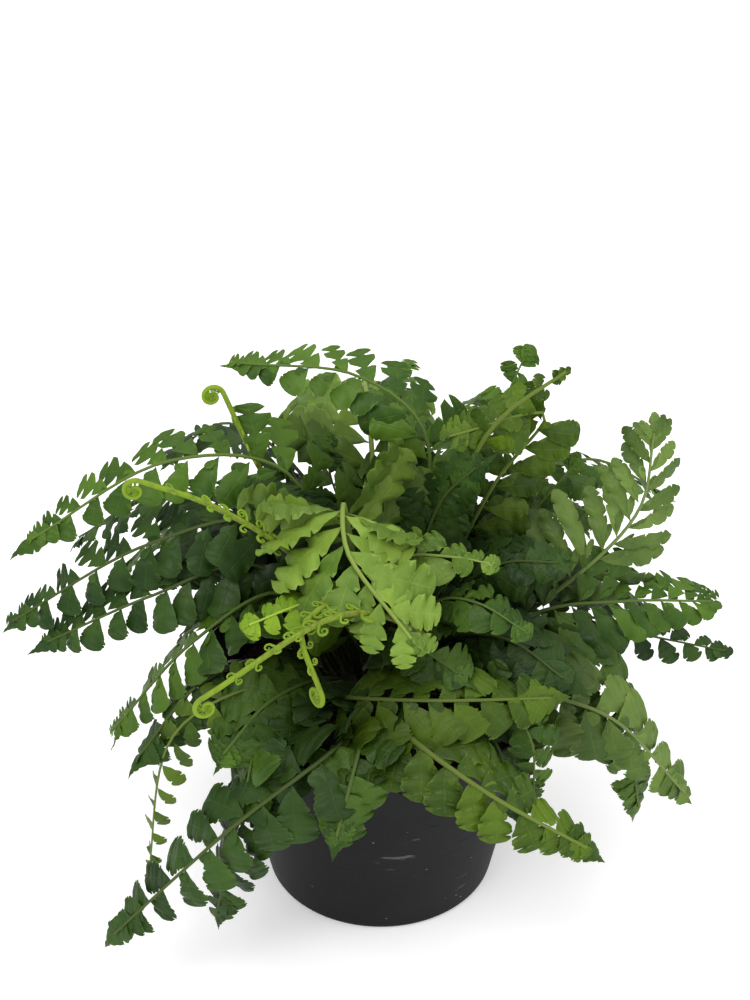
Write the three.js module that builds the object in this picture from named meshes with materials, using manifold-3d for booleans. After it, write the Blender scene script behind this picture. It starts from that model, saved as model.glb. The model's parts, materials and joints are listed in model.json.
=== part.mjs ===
// A fern in a round plastic nursery pot. Millimetres, +Z up, origin at the middle of the pot's underside.
// The fronds rise from a short crown on the soil, arch over the rim and hang down outside it.
import * as THREE from "three";
import { mergeVertices } from "three/addons/utils/BufferGeometryUtils.js";
import Module from "manifold-3d";

const wasm = await Module();
wasm.setup();

// ---- Pot ----
const POT_HEIGHT = 88;
const RIM_RADIUS = 65;
const COLLAR_HEIGHT = 7.5;
const COLLAR_FLARE = 1;
const STEP_WIDTH = 6;
const BASE_RADIUS = 42;
const BASE_ROUND = 3;
const WALL = 1.5;
const FLOOR = 2;
const DRAIN_HOLES = 6;
const DRAIN_RADIUS = 4;
const DRAIN_RING = 28;
const DRAIN_SIDES = 12;
const POT_SIDES = 44;

// ---- Soil and crown ----
const SOIL_DROP = 11;
const SOIL_MOUND = 1.5;
const SOIL_GAP = 0.4;
const CROWN_RADIUS = 22;
const CROWN_HEIGHT = 8;
const CROWN_SIDES = 16;
const CROWN_STEPS = [0.98, 0.85, 0.6, 0.3, 0];

// ---- Fronds ----
const GAP = 0.3;
const FOOT_LIFT = 1.2;
const FOOT_RINGS = [
  { share: 0.2, places: 8 },
  { share: 0.36, places: 14 },
  { share: 0.52, places: 20 },
  { share: 0.68, places: 26 },
  { share: 0.84, places: 32 },
];
const STALK_RADIUS = 0.8;
const STALK_SIDES = 4;
const STALK_STEPS = 8;
const LEAF_THICKNESS = 1.1;
const LEAF_SWEEP = 22;
const TIP_SWEEP = 52;
const TIP_SHARE = 0.42;
const TAPER_POWER = 1.3;
const PAIR_STAGGER = 0.4;
const LAST_PAIR = 0.95;
const LEAF_TILTS = [-10, 8, -28, 26, -46, 44];
const DRAWN_RIM_RADIUS = 65;
const DRAWN_CROWN_RADIUS = 22;

// ---- Croziers, the fronds that are still coiled ----
const CROZIER_RADIUS = 1;
const COIL_THICKNESS = 0.8;
const COIL_RADIUS = 3.8;
const COIL_TURNS = 1.3;
const COIL_PITCH = 2.3;
const COIL_STEPS = 16;

// How a frond carries its leaflets: pairs, the bare share of the stalk, and its longest leaflet.
const BROAD = { pairs: 10, bare: 0.4, length: 31, width: 11 };
const PLUME = { pairs: 10, bare: 0.38, length: 26, width: 6.5 };
const FEATHER = { pairs: 10, bare: 0.38, length: 20, width: 6.5 };
const SPRAY = { pairs: 11, bare: 0.28, length: 18, width: 8 };
const ROUND = { pairs: 9, bare: 0.28, length: 18, width: 12 };
const SMALL = { pairs: 8, bare: 0.32, length: 13, width: 7 };
const THIN = { pairs: 9, bare: 0.36, length: 9, width: 4.5 };
const SPARSE = { pairs: 4, bare: 0.72, length: 8, width: 4 };

// Which way a frond's upper face looks.
const UP = [0, 0, 1];
const FRONT_UP = [0, -0.6, 0.8];
const FRONT = [0, -1, 0.25];
const LEFT_FRONT = [-0.6, -0.75, 0.3];
const LEFT_UP = [-0.5, -0.2, 0.8];
const RIGHT_FRONT = [0.6, -0.7, 0.4];
const BACK_UP = [0, 0.6, 0.8];
const BACK = [0, 1, 0.25];

// Leaf colours.
const LIME = 0x8fb83a;
const FRESH = 0x6b9a45;
const BRIGHT = 0x5f8f2a;
const MID = 0x4c7a38;
const DARK = 0x35592f;
const GREY = 0x56784a;

// Each frond: name, foot radius on the crown, then the knee, crest and tip that its stalk passes through.
// The points are chosen by hand: x and y from the pot's axis, and height from the rim.
const FRONDS = [
  ["hero_frond", 6, [-12, -22, 76], [-10, -47, 72], [9, -66, 54], BROAD, FRONT_UP, FRESH],
  ["front_cross_frond", 14, [-14, -45, 17], [18, -62, 28], [53, -58, 26], ROUND, FRONT_UP, BRIGHT],
  ["front_spill_frond", 17, [6, -62, 17], [32, -82, 8], [64, -86, -11], ROUND, FRONT_UP, BRIGHT],
  ["right_plume_frond", 14, [56, -6, 29], [86, -2, 62], [90, 4, 88], PLUME, FRONT, GREY],
  ["right_mid_frond", 18, [54, -10, 27], [83, -8, 30], [113, -5, 28], FEATHER, FRONT_UP, MID],
  ["right_low_frond", 19, [51, -38, 13], [76, -42, 6], [102, -46, -22], ROUND, RIGHT_FRONT, GREY],
  ["left_high_frond", 8, [-32, 0, 76], [-69, -8, 84], [-113, -22, 63], SPRAY, FRONT_UP, MID],
  ["left_long_frond", 12, [-38, -10, 62], [-76, -15, 57], [-123, -20, 30], SPRAY, FRONT_UP, DARK],
  ["left_mid_frond", 16, [-42, -12, 47], [-76, -22, 41], [-111, -25, 25], SPRAY, FRONT_UP, DARK],
  ["left_low_frond", 17, [-34, -20, 41], [-61, -35, 32], [-89, -42, 1], SPRAY, LEFT_UP, MID],
  ["top_left_frond", 5, [15, 15, 82], [-7, 22, 100], [-47, 20, 106], SPRAY, FRONT_UP, MID],
  ["top_right_frond", 8, [37, 20, 70], [42, 25, 89], [49, 28, 106], SMALL, FRONT, MID],
  ["bright_top_frond", 9, [38, 8, 66], [54, 6, 94], [22, -6, 92], SPRAY, FRONT_UP, BRIGHT],
  ["tall_stalk_frond", 11, [26, -2, 71], [38, -6, 98], [58, -10, 117], SPARSE, FRONT, BRIGHT],
  ["big_hanging_frond", 19, [-15, -66, 12], [-46, -80, -7], [-87, -82, -51], ROUND, LEFT_FRONT, DARK],
  ["dark_hanging_frond", 19, [-31, -58, 10], [-44, -72, -8], [-54, -76, -48], ROUND, LEFT_FRONT, DARK],
  ["thin_hanging_frond", 18, [-45, -50, 23], [-66, -58, 12], [-79, -58, -51], THIN, LEFT_FRONT, BRIGHT],
  ["right_drip_frond", 18, [38, -52, 21], [47, -64, 15], [49, -66, -5], SMALL, FRONT, MID],
  ["right_far_frond", 19, [63, 5, 16], [95, 5, 7], [121, 0, 4], SMALL, FRONT_UP, DARK],
  ["young_tuft_frond", 10, [-18, -42, 52], [-27, -56, 59], [-40, -66, 59], SMALL, FRONT_UP, LIME],
  ["front_mid_frond", 9, [6, -30, 60], [22, -38, 66], [34, -42, 66], SMALL, FRONT_UP, FRESH],
  ["front_leaf_frond", 13, [19, -35, 48], [31, -45, 53], [45, -50, 46], SMALL, FRONT_UP, MID],
  ["left_round_frond", 14, [-40, -2, 49], [-56, 0, 47], [-79, -2, 37], ROUND, FRONT_UP, DARK],
  ["small_upright_frond", 7, [-12, 12, 50], [-17, 18, 63], [-19, 20, 75], SMALL, FRONT, MID],
  ["mid_right_frond", 12, [41, 5, 42], [55, 12, 57], [66, 15, 71], SMALL, FRONT, MID],
  ["right_inner_frond", 13, [22, -8, 30], [40, -16, 50], [58, -22, 54], SPRAY, FRONT_UP, DARK],
  ["front_right_frond", 16, [24, -24, 26], [42, -38, 34], [58, -50, 28], ROUND, FRONT_UP, DARK],
  ["front_left_frond", 16, [-20, -34, 16], [-36, -52, 20], [-50, -66, 10], ROUND, FRONT_UP, MID],
  ["left_front_frond", 18, [-34, -30, 22], [-58, -44, 22], [-78, -56, 2], ROUND, LEFT_UP, DARK],
  ["upper_left_frond", 8, [-16, -6, 42], [-28, -10, 64], [-40, -16, 76], SPRAY, FRONT_UP, DARK],
  ["upper_right_frond", 6, [12, -8, 44], [20, -12, 72], [30, -20, 88], SPRAY, FRONT_UP, DARK],
  ["rim_left_frond", 19, [-26, -42, 14], [-38, -58, 14], [-44, -74, -6], ROUND, LEFT_FRONT, MID],
  ["rim_front_frond", 19, [-5, -46, 10], [-7, -66, 12], [-14, -84, -8], ROUND, FRONT_UP, MID],
  ["rim_right_frond", 18, [24, -42, 14], [36, -58, 10], [44, -74, -8], SMALL, FRONT, DARK],
  ["centre_frond", 12, [2, -26, 30], [8, -42, 38], [24, -56, 34], SPRAY, FRONT_UP, MID],
  ["right_hanging_frond", 19, [60, -22, 16], [80, -28, 4], [90, -32, -40], ROUND, RIGHT_FRONT, MID],
  ["back_right_frond", 14, [32, 17, 43], [70, 34, 62], [105, 55, 37], SPRAY, UP, MID],
  ["back_right_low_frond", 18, [40, 22, 22], [76, 40, 14], [104, 54, -14], ROUND, UP, DARK],
  ["back_corner_frond", 16, [28, 30, 34], [58, 62, 36], [82, 88, 4], SPRAY, BACK_UP, MID],
  ["back_tall_right_frond", 9, [18, 34, 59], [38, 72, 70], [58, 110, 42], SPRAY, BACK_UP, MID],
  ["back_low_frond", 16, [8, 36, 30], [14, 74, 30], [20, 106, -6], ROUND, BACK_UP, DARK],
  ["back_arch_frond", 7, [-3, 32, 64], [-6, 70, 76], [-10, 112, 52], BROAD, BACK_UP, FRESH],
  ["back_left_low_frond", 18, [-16, 34, 28], [-32, 68, 24], [-44, 96, -16], ROUND, BACK_UP, MID],
  ["back_left_frond", 12, [-24, 30, 52], [-54, 62, 62], [-82, 92, 34], SPRAY, BACK_UP, DARK],
  ["left_back_low_frond", 18, [-32, 22, 32], [-70, 44, 32], [-100, 62, 0], SPRAY, UP, MID],
  ["left_back_frond", 13, [-34, 12, 42], [-74, 26, 54], [-110, 38, 28], SPRAY, UP, DARK],
  ["back_upright_frond", 4, [5, 22, 56], [6, 42, 78], [8, 68, 84], SPRAY, BACK_UP, MID],
  ["back_hanging_frond", 19, [10, 62, 16], [12, 84, 4], [14, 92, -43], ROUND, BACK, DARK],
  ["back_left_hanging_frond", 19, [-44, 48, 16], [-58, 64, 4], [-68, 72, -38], THIN, BACK, MID],
];

const CROZIERS = [
  ["long_crozier", 12, [15, -46, 40], [-11, -66, 63], [-54, -82, 43]],
  ["hook_crozier", 12, [-8, -48, 58], [-24, -68, 59], [-18, -76, 40]],
  ["left_crozier", 10, [-24, -34, 60], [-53, -32, 81], [-75, -34, 91]],
  ["upper_crozier", 10, [-30, 4, 53], [-42, 2, 80], [-51, 0, 105]],
];

const group = new THREE.Group();
const placed = [];

function vector(list) {
  return new THREE.Vector3(...list);
}

function material(colour, roughness) {
  return new THREE.MeshStandardMaterial({ color: colour, roughness, metalness: 0 });
}

// A closed geometry as a solid, with its doubled vertices merged.
function solid(geometry) {
  const bare = geometry.index ? geometry.toNonIndexed() : geometry;
  const points = new THREE.BufferGeometry().setAttribute("position", bare.getAttribute("position"));
  const merged = mergeVertices(points, 1e-4);
  const vertProperties = merged.attributes.position.array;
  const triVerts = new Uint32Array(merged.index.array);
  return new wasm.Manifold(new wasm.Mesh({ numProp: 3, vertProperties, triVerts }));
}

function addNode(name, body, finish) {
  const mesh = body.getMesh();
  const geometry = new THREE.BufferGeometry();
  geometry.setAttribute("position", new THREE.BufferAttribute(mesh.vertProperties, 3));
  geometry.setIndex(new THREE.BufferAttribute(mesh.triVerts, 1));
  const node = new THREE.Mesh(geometry, finish);
  node.name = name;
  group.add(node);
}

// Bodies turned on the pot's axis. The profile is given in (radius, height) pairs from the bottom up.
function turned(profile, sides) {
  const outline = profile.map(([radius, height]) => new THREE.Vector2(radius, height));
  return solid(new THREE.LatheGeometry(outline, sides).rotateX(Math.PI / 2));
}

// ---- Pot ----
const COLLAR_BOTTOM = POT_HEIGHT - COLLAR_HEIGHT;
const WALL_TOP_RADIUS = RIM_RADIUS - COLLAR_FLARE - STEP_WIDTH;

// The inside radius of the wall at a height below the collar.
function insideRadius(height) {
  const share = height / COLLAR_BOTTOM;
  return BASE_RADIUS + (WALL_TOP_RADIUS - BASE_RADIUS) * share - WALL;
}

function potProfile() {
  const corner = BASE_ROUND * (1 - Math.SQRT1_2);
  const ledge = COLLAR_BOTTOM + WALL;
  return [
    [0, 0],
    [BASE_RADIUS - BASE_ROUND, 0],
    [BASE_RADIUS - corner, corner],
    [BASE_RADIUS, BASE_ROUND],
    [WALL_TOP_RADIUS, COLLAR_BOTTOM],
    [RIM_RADIUS - COLLAR_FLARE, COLLAR_BOTTOM],
    [RIM_RADIUS, POT_HEIGHT],
    [RIM_RADIUS - WALL, POT_HEIGHT],
    [RIM_RADIUS - COLLAR_FLARE - WALL, ledge],
    [insideRadius(ledge), ledge],
    [insideRadius(FLOOR), FLOOR],
    [0, FLOOR],
  ];
}

function drainHoles() {
  return Array.from({ length: DRAIN_HOLES }, (_, hole) => {
    const angle = (2 * Math.PI * (hole + 0.5)) / DRAIN_HOLES;
    const drill = new THREE.CylinderGeometry(DRAIN_RADIUS, DRAIN_RADIUS, FLOOR * 3, DRAIN_SIDES);
    drill.rotateX(Math.PI / 2);
    drill.translate(DRAIN_RING * Math.cos(angle), DRAIN_RING * Math.sin(angle), FLOOR / 2);
    return solid(drill);
  });
}

const pot = drainHoles().reduce((body, hole) => body.subtract(hole), turned(potProfile(), POT_SIDES));

// ---- Soil and crown ----
const SOIL_TOP = POT_HEIGHT - SOIL_DROP;
const SOIL_EDGE = SOIL_TOP - SOIL_MOUND;
const SOIL_BOTTOM = FLOOR + GAP;

const soil = turned([
  [0, SOIL_BOTTOM],
  [insideRadius(SOIL_BOTTOM) - SOIL_GAP, SOIL_BOTTOM],
  [insideRadius(SOIL_EDGE) - SOIL_GAP, SOIL_EDGE],
  [CROWN_RADIUS, SOIL_TOP],
  [0, SOIL_TOP],
], POT_SIDES);

// The crown's height above the soil at a share of its radius.
function crownRise(share) {
  return CROWN_HEIGHT * Math.sqrt(1 - share ** 2);
}

const CROWN_BOTTOM = SOIL_TOP + GAP;
const crown = turned([
  [0, CROWN_BOTTOM],
  ...CROWN_STEPS.map((share) => [share * CROWN_RADIUS, CROWN_BOTTOM + crownRise(share)]),
], CROWN_SIDES);

// ---- Stalks ----
// A point of the lists above: spread with the rim and lifted with the pot.
function drawnPoint([x, y, height]) {
  const spread = RIM_RADIUS / DRAWN_RIM_RADIUS;
  return new THREE.Vector3(x * spread, y * spread, POT_HEIGHT + height);
}

// The growing places on the crown, in rings, where a stalk can stand.
const freePlaces = FOOT_RINGS.flatMap(({ share, places }) =>
  Array.from({ length: places }, (_, i) => {
    const angle = (2 * Math.PI * i) / places;
    const radius = share * CROWN_RADIUS;
    const height = CROWN_BOTTOM + crownRise(share) + FOOT_LIFT;
    return new THREE.Vector3(radius * Math.cos(angle), radius * Math.sin(angle), height);
  }),
);

// Takes the free growing place nearest to a wanted one: this far from the axis, on the side of the knee.
function takeFoot(footRadius, knee) {
  const lean = Math.hypot(knee.x, knee.y);
  const reach = (footRadius * CROWN_RADIUS) / DRAWN_CROWN_RADIUS;
  const wanted = new THREE.Vector2(knee.x, knee.y).multiplyScalar(reach / lean);
  const distance = (place) => Math.hypot(place.x - wanted.x, place.y - wanted.y);
  const nearest = freePlaces.reduce((a, b) => (distance(b) < distance(a) ? b : a));
  freePlaces.splice(freePlaces.indexOf(nearest), 1);
  return nearest;
}

// The smooth route of a stalk from its foot through the knee and crest to the tip.
function stalkCurve(footRadius, ...drawn) {
  const points = drawn.map(drawnPoint);
  const foot = takeFoot(footRadius, points[0]);
  return new THREE.CatmullRomCurve3([foot, ...points], false, "centripetal");
}

// A place on the straight stretches that the stalk's solid is made of.
function stalkPoint(curve, share) {
  const step = Math.min(Math.floor(share * STALK_STEPS), STALK_STEPS - 1);
  const start = curve.getPointAt(step / STALK_STEPS);
  const end = curve.getPointAt((step + 1) / STALK_STEPS);
  return start.lerp(end, share * STALK_STEPS - step);
}

function tube(curve, radius, steps) {
  const angles = Array.from({ length: STALK_SIDES }, (_, i) => (2 * Math.PI * i) / STALK_SIDES);
  const section = new THREE.Shape(
    angles.map((angle) => new THREE.Vector2(radius * Math.cos(angle), radius * Math.sin(angle))),
  );
  return solid(new THREE.ExtrudeGeometry(section, { steps, extrudePath: curve }));
}

// ---- Leaflets ----
// The stalk's own directions at a place: along it, out of its upper face, and across to one side.
function stalkFrame(curve, t, face, side) {
  const along = curve.getTangentAt(t);
  const normal = vector(face).addScaledVector(along, -vector(face).dot(along)).normalize();
  const across = new THREE.Vector3().crossVectors(normal, along).multiplyScalar(side);
  return { along, normal, across };
}

// A flat tetrahedron. Its upper edge is the midrib, from the root out; its lower edge is the width.
function leaflet(root, out, normal, length, width) {
  const across = new THREE.Vector3().crossVectors(normal, out).normalize();
  const middle = root.clone().addScaledVector(out, length / 2).addScaledVector(normal, -LEAF_THICKNESS / 2);
  const place = new THREE.Matrix4().makeBasis(
    out.clone().multiplyScalar(length / 2),
    across.multiplyScalar(width / 2),
    normal.clone().multiplyScalar(LEAF_THICKNESS / Math.SQRT2),
  );
  place.setPosition(middle);
  const blade = new THREE.TetrahedronGeometry(Math.sqrt(3 / 2)).rotateZ(-Math.PI / 4);
  return solid(blade.applyMatrix4(place));
}

// One leaflet to a side of the stalk, raised or drooping by the tilt.
function sideLeaflet(curve, style, face, s, side, tilt) {
  const t = style.bare + (LAST_PAIR - style.bare) * s;
  const { along, normal, across } = stalkFrame(curve, t, face, side);
  const size = 1 - (1 - TIP_SHARE) * s ** TAPER_POWER;
  const sweep = THREE.MathUtils.degToRad(LEAF_SWEEP + (TIP_SWEEP - LEAF_SWEEP) * s);
  const lift = THREE.MathUtils.degToRad(tilt);
  const level = across.clone().multiplyScalar(Math.cos(lift)).addScaledVector(normal, Math.sin(lift));
  const upper = normal.clone().multiplyScalar(Math.cos(lift)).addScaledVector(across, -Math.sin(lift));
  const out = level.multiplyScalar(Math.cos(sweep)).addScaledVector(along, Math.sin(sweep));
  return leaflet(stalkPoint(curve, t), out, upper, style.length * size, style.width * size);
}

function endLeaflet(curve, style, face) {
  const { along, normal } = stalkFrame(curve, 1, face, 1);
  const length = style.length * TIP_SHARE;
  const root = curve.getPoint(1).addScaledVector(along, -STALK_RADIUS);
  return leaflet(root, along, normal, length, style.width * TIP_SHARE);
}

// ---- Putting the plant together ----
function boxesApart(a, b) {
  return [0, 1, 2].some((i) => a.min[i] - GAP > b.max[i] || b.min[i] - GAP > a.max[i]);
}

function keep(owner, body) {
  placed.push({ owner, body, box: body.boundingBox() });
}

// True when a body keeps the gap to everything placed for other pieces.
function isClear(owner, body) {
  const box = body.boundingBox();
  if (box.min[2] < GAP) return false;
  const near = placed.filter((other) => other.owner !== owner && !boxesApart(box, other.box));
  return near.every((other) => body.minGap(other.body, GAP) >= GAP);
}

// The leaflets of one frond, each with the first tilt that is clear of the rest of the plant.
function leafletsOf(name, curve, style, face) {
  const kept = [endLeaflet(curve, style, face)].filter((body) => isClear(name, body));
  for (let pair = 0; pair < style.pairs; pair += 1) {
    for (const side of [-1, 1]) {
      const s = (pair + (side < 0 ? 0 : PAIR_STAGGER)) / style.pairs;
      const tries = LEAF_TILTS.map((tilt) => sideLeaflet(curve, style, face, s, side, tilt));
      const body = tries.find((candidate) => isClear(name, candidate));
      if (body) kept.push(body);
    }
  }
  return kept;
}

function coilOf(curve, face) {
  const end = curve.getPoint(1);
  const { along, normal } = stalkFrame(curve, 1, face, 1);
  const turns = Array.from({ length: COIL_STEPS + 1 }, (_, i) => {
    const angle = (2 * Math.PI * COIL_TURNS * i) / COIL_STEPS;
    const radius = COIL_RADIUS - (COIL_PITCH * angle) / (2 * Math.PI);
    return end.clone()
      .addScaledVector(along, radius * Math.sin(angle))
      .addScaledVector(normal, radius * Math.cos(angle) - COIL_RADIUS);
  });
  return new THREE.CatmullRomCurve3(turns);
}

keep("pot", pot);
keep("soil", soil);
keep("crown", crown);
addNode("pot", pot, material(0x2d3030, 0.55));
addNode("soil", soil, material(0x2a1f18, 0.95));
addNode("crown", crown, material(0x3b2a1c, 0.9));

for (const [name, footRadius, knee, crest, tip] of CROZIERS) {
  const curve = stalkCurve(footRadius, knee, crest, tip);
  const stem = tube(curve, CROZIER_RADIUS, STALK_STEPS);
  const body = stem.add(tube(coilOf(curve, UP), COIL_THICKNESS, COIL_STEPS));
  keep(name, body);
  addNode(name, body, material(LIME, 0.5));
}

const fronds = FRONDS.map(([name, footRadius, knee, crest, tip, style, face, colour]) => {
  const curve = stalkCurve(footRadius, knee, crest, tip);
  const stalk = tube(curve, STALK_RADIUS, STALK_STEPS);
  keep(name, stalk);
  return { name, curve, stalk, style, face, colour };
});

for (const { name, curve, stalk, style, face, colour } of fronds) {
  const leaflets = leafletsOf(name, curve, style, face);
  leaflets.forEach((body) => keep(name, body));
  addNode(name, leaflets.reduce((body, leaf) => body.add(leaf), stalk), material(colour, 0.5));
}

export default group;
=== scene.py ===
"""A fern in a round plastic nursery pot.

Metres, +Z up, origin at the middle of the pot's underside. Every frond follows the route of the frame's
own frond and stands for it. The pot, the soil and the crown do the same for theirs.
"""

import json
import logging
import math
import random
from dataclasses import dataclass, field
from enum import Enum
from typing import Any, Iterable, Optional

import bmesh
import bpy
from mathutils import Matrix, Vector, noise
from mathutils.kdtree import KDTree

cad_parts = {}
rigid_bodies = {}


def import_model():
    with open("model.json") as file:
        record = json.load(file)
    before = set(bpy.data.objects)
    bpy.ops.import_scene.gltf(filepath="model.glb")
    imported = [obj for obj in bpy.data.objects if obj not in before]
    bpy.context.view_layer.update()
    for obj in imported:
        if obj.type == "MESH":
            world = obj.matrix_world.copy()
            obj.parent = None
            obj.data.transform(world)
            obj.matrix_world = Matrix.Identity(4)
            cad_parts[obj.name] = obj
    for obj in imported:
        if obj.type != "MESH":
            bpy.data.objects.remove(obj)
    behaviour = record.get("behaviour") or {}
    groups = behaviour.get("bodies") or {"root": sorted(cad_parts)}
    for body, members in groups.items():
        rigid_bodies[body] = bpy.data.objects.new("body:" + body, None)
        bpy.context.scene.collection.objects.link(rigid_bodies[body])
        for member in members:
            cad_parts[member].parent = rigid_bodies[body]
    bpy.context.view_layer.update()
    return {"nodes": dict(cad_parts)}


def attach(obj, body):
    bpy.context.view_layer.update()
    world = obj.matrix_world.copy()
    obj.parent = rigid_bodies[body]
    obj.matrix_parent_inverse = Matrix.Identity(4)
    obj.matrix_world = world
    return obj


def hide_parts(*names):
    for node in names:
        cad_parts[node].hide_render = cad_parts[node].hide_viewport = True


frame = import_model()

log = logging.getLogger("fern")

MM = 0.001
Colour = tuple[float, float, float, float]


def rgb(red: float, green: float, blue: float) -> Colour:
    """A linear colour with full alpha."""
    return (red, green, blue, 1.0)


def made_mesh(bm: bmesh.types.BMesh, name: str) -> bpy.types.Mesh:
    """Turns a bmesh into a mesh and frees it.

    Args:
        bm: the bmesh, which is used up.
        name: the mesh's name.

    Returns:
        The mesh.
    """
    mesh = bpy.data.meshes.new(name)
    bm.to_mesh(mesh)
    bm.free()
    return mesh


def placed(name: str, data: Any) -> bpy.types.Object:
    """Makes an object and puts it in the scene.

    Args:
        name: the object's name.
        data: its mesh, lamp or camera.

    Returns:
        The object.
    """
    made = bpy.data.objects.new(name, data)
    bpy.context.scene.collection.objects.link(made)
    return made


# ---- Nodes ----


class Value:
    """A number on a node tree, with Python's own operators standing for Math nodes."""

    def __init__(self, net: "Net", socket: bpy.types.NodeSocket) -> None:
        """Holds a socket and the net that it belongs to."""
        self.net = net
        self.socket = socket

    def _math(self, operation: str, *terms: Any) -> "Value":
        """One Math node.

        Args:
            operation: the Math node's operation.
            terms: its inputs in order, numbers or values.

        Returns:
            The node's result.
        """
        node = self.net.add("ShaderNodeMath", {"operation": operation}, dict(enumerate(terms)))
        return Value(self.net, node.outputs[0])

    def __add__(self, other: Any) -> "Value":
        """Sum."""
        return self._math("ADD", self, other)

    def __radd__(self, other: Any) -> "Value":
        """Sum, reflected."""
        return self._math("ADD", other, self)

    def __sub__(self, other: Any) -> "Value":
        """Difference."""
        return self._math("SUBTRACT", self, other)

    def __rsub__(self, other: Any) -> "Value":
        """Difference, reflected."""
        return self._math("SUBTRACT", other, self)

    def __mul__(self, other: Any) -> "Value":
        """Product."""
        return self._math("MULTIPLY", self, other)

    def __rmul__(self, other: Any) -> "Value":
        """Product, reflected."""
        return self._math("MULTIPLY", other, self)

    def size(self) -> "Value":
        """Absolute value."""
        return self._math("ABSOLUTE", self)

    def fract(self) -> "Value":
        """The part after the point."""
        return self._math("FRACT", self)

    def rise(self, low: float, high: float) -> "Value":
        """Goes smoothly from 0 at low to 1 at high.

        Args:
            low: where it is still 0.
            high: where it has become 1.

        Returns:
            The smooth step.
        """
        sockets = {"Value": self, "From Min": low, "From Max": high}
        node = self.net.add("ShaderNodeMapRange", {"interpolation_type": "SMOOTHSTEP"}, sockets)
        return Value(self.net, node.outputs[0])


@dataclass
class Net:
    """Adds nodes to one node tree."""

    tree: bpy.types.NodeTree

    def add(
        self, kind: str, settings: Optional[dict] = None, sockets: Optional[dict] = None
    ) -> bpy.types.Node:
        """Makes a node.

        Args:
            kind: the node's type.
            settings: its own properties, set before its sockets.
            sockets: a value, a Value or a socket to link, by input name or number.

        Returns:
            The new node.
        """
        node = self.tree.nodes.new(kind)
        for key, value in (settings or {}).items():
            setattr(node, key, value)
        for key, value in (sockets or {}).items():
            if isinstance(value, Value):
                value = value.socket
            if isinstance(value, bpy.types.NodeSocket):
                self.tree.links.new(value, node.inputs[key])
            else:
                node.inputs[key].default_value = value
        return node


class Surface(Net):
    """A material's nodes: patterns in, one shader out."""

    def __init__(self, name: str) -> None:
        """Makes an empty material of that name.

        Args:
            name: the material's name.
        """
        self.material = bpy.data.materials.new(name)
        self.material.use_nodes = True
        super().__init__(self.material.node_tree)
        self.tree.nodes.clear()
        self.place = self.add("ShaderNodeTexCoord").outputs["Object"]

    def stretched(self, x: float, y: float, z: float) -> bpy.types.NodeSocket:
        """Object coordinates scaled by x, y and z."""
        settings = {"vector_type": "POINT"}
        return self.add("ShaderNodeMapping", settings, {"Vector": self.place, "Scale": (x, y, z)}).outputs[0]

    def noise(self, scale: float, detail: float = 3.0, place: Any = None) -> Value:
        """Soft noise.

        Args:
            scale: how many lumps there are to a metre.
            detail: how many finer layers lie over it.
            place: the coordinates, the object's own if none are given.

        Returns:
            A number around one half.
        """
        sockets = {"Vector": place or self.place, "Scale": scale, "Detail": detail}
        return Value(self, self.add("ShaderNodeTexNoise", None, sockets).outputs[0])

    def cells(self, scale: float, place: Any = None) -> Value:
        """The distance to the nearest of many scattered points, scale to a metre."""
        node = self.add("ShaderNodeTexVoronoi", None, {"Vector": place or self.place, "Scale": scale})
        return Value(self, node.outputs["Distance"])

    def own(self, name: str) -> Value:
        """A number that the mesh carries."""
        return Value(self, self.add("ShaderNodeAttribute", {"attribute_name": name}).outputs["Fac"])

    def own_parts(self, name: str) -> list[Value]:
        """The three parts of a vector that the mesh carries.

        Args:
            name: the vector's name.

        Returns:
            Its three numbers.
        """
        node = self.add("ShaderNodeAttribute", {"attribute_name": name})
        parts = self.add("ShaderNodeSeparateXYZ", None, {0: node.outputs["Vector"]})
        return [Value(self, socket) for socket in parts.outputs]

    def mix(self, first: Any, second: Any, share: Any) -> bpy.types.NodeSocket:
        """A colour between two others.

        Args:
            first: the colour at 0.
            second: the colour at 1.
            share: how much of the second there is.

        Returns:
            The mixed colour's socket.
        """
        settings = {"data_type": "RGBA", "clamp_factor": True}
        return self.add("ShaderNodeMix", settings, {0: share, 6: first, 7: second}).outputs[2]

    def bump(self, height: Value, depth: float) -> bpy.types.NodeSocket:
        """A normal bent by a height, whose full range is depth metres deep."""
        sockets = {"Height": height, "Distance": depth, "Strength": 1.0}
        return self.add("ShaderNodeBump", None, sockets).outputs[0]

    def finish(self, **sockets: Any) -> bpy.types.Material:
        """Ends the material in one shader.

        Args:
            sockets: the shader's inputs, with _ for each space in a name.

        Returns:
            The material.
        """
        named = {name.replace("_", " "): value for name, value in sockets.items()}
        named["IOR"] = 1.45
        shader = self.add("ShaderNodeBsdfPrincipled", None, named)
        self.add("ShaderNodeOutputMaterial", None, {"Surface": shader.outputs[0]})
        return self.material


# ---- Finishes ----


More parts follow.
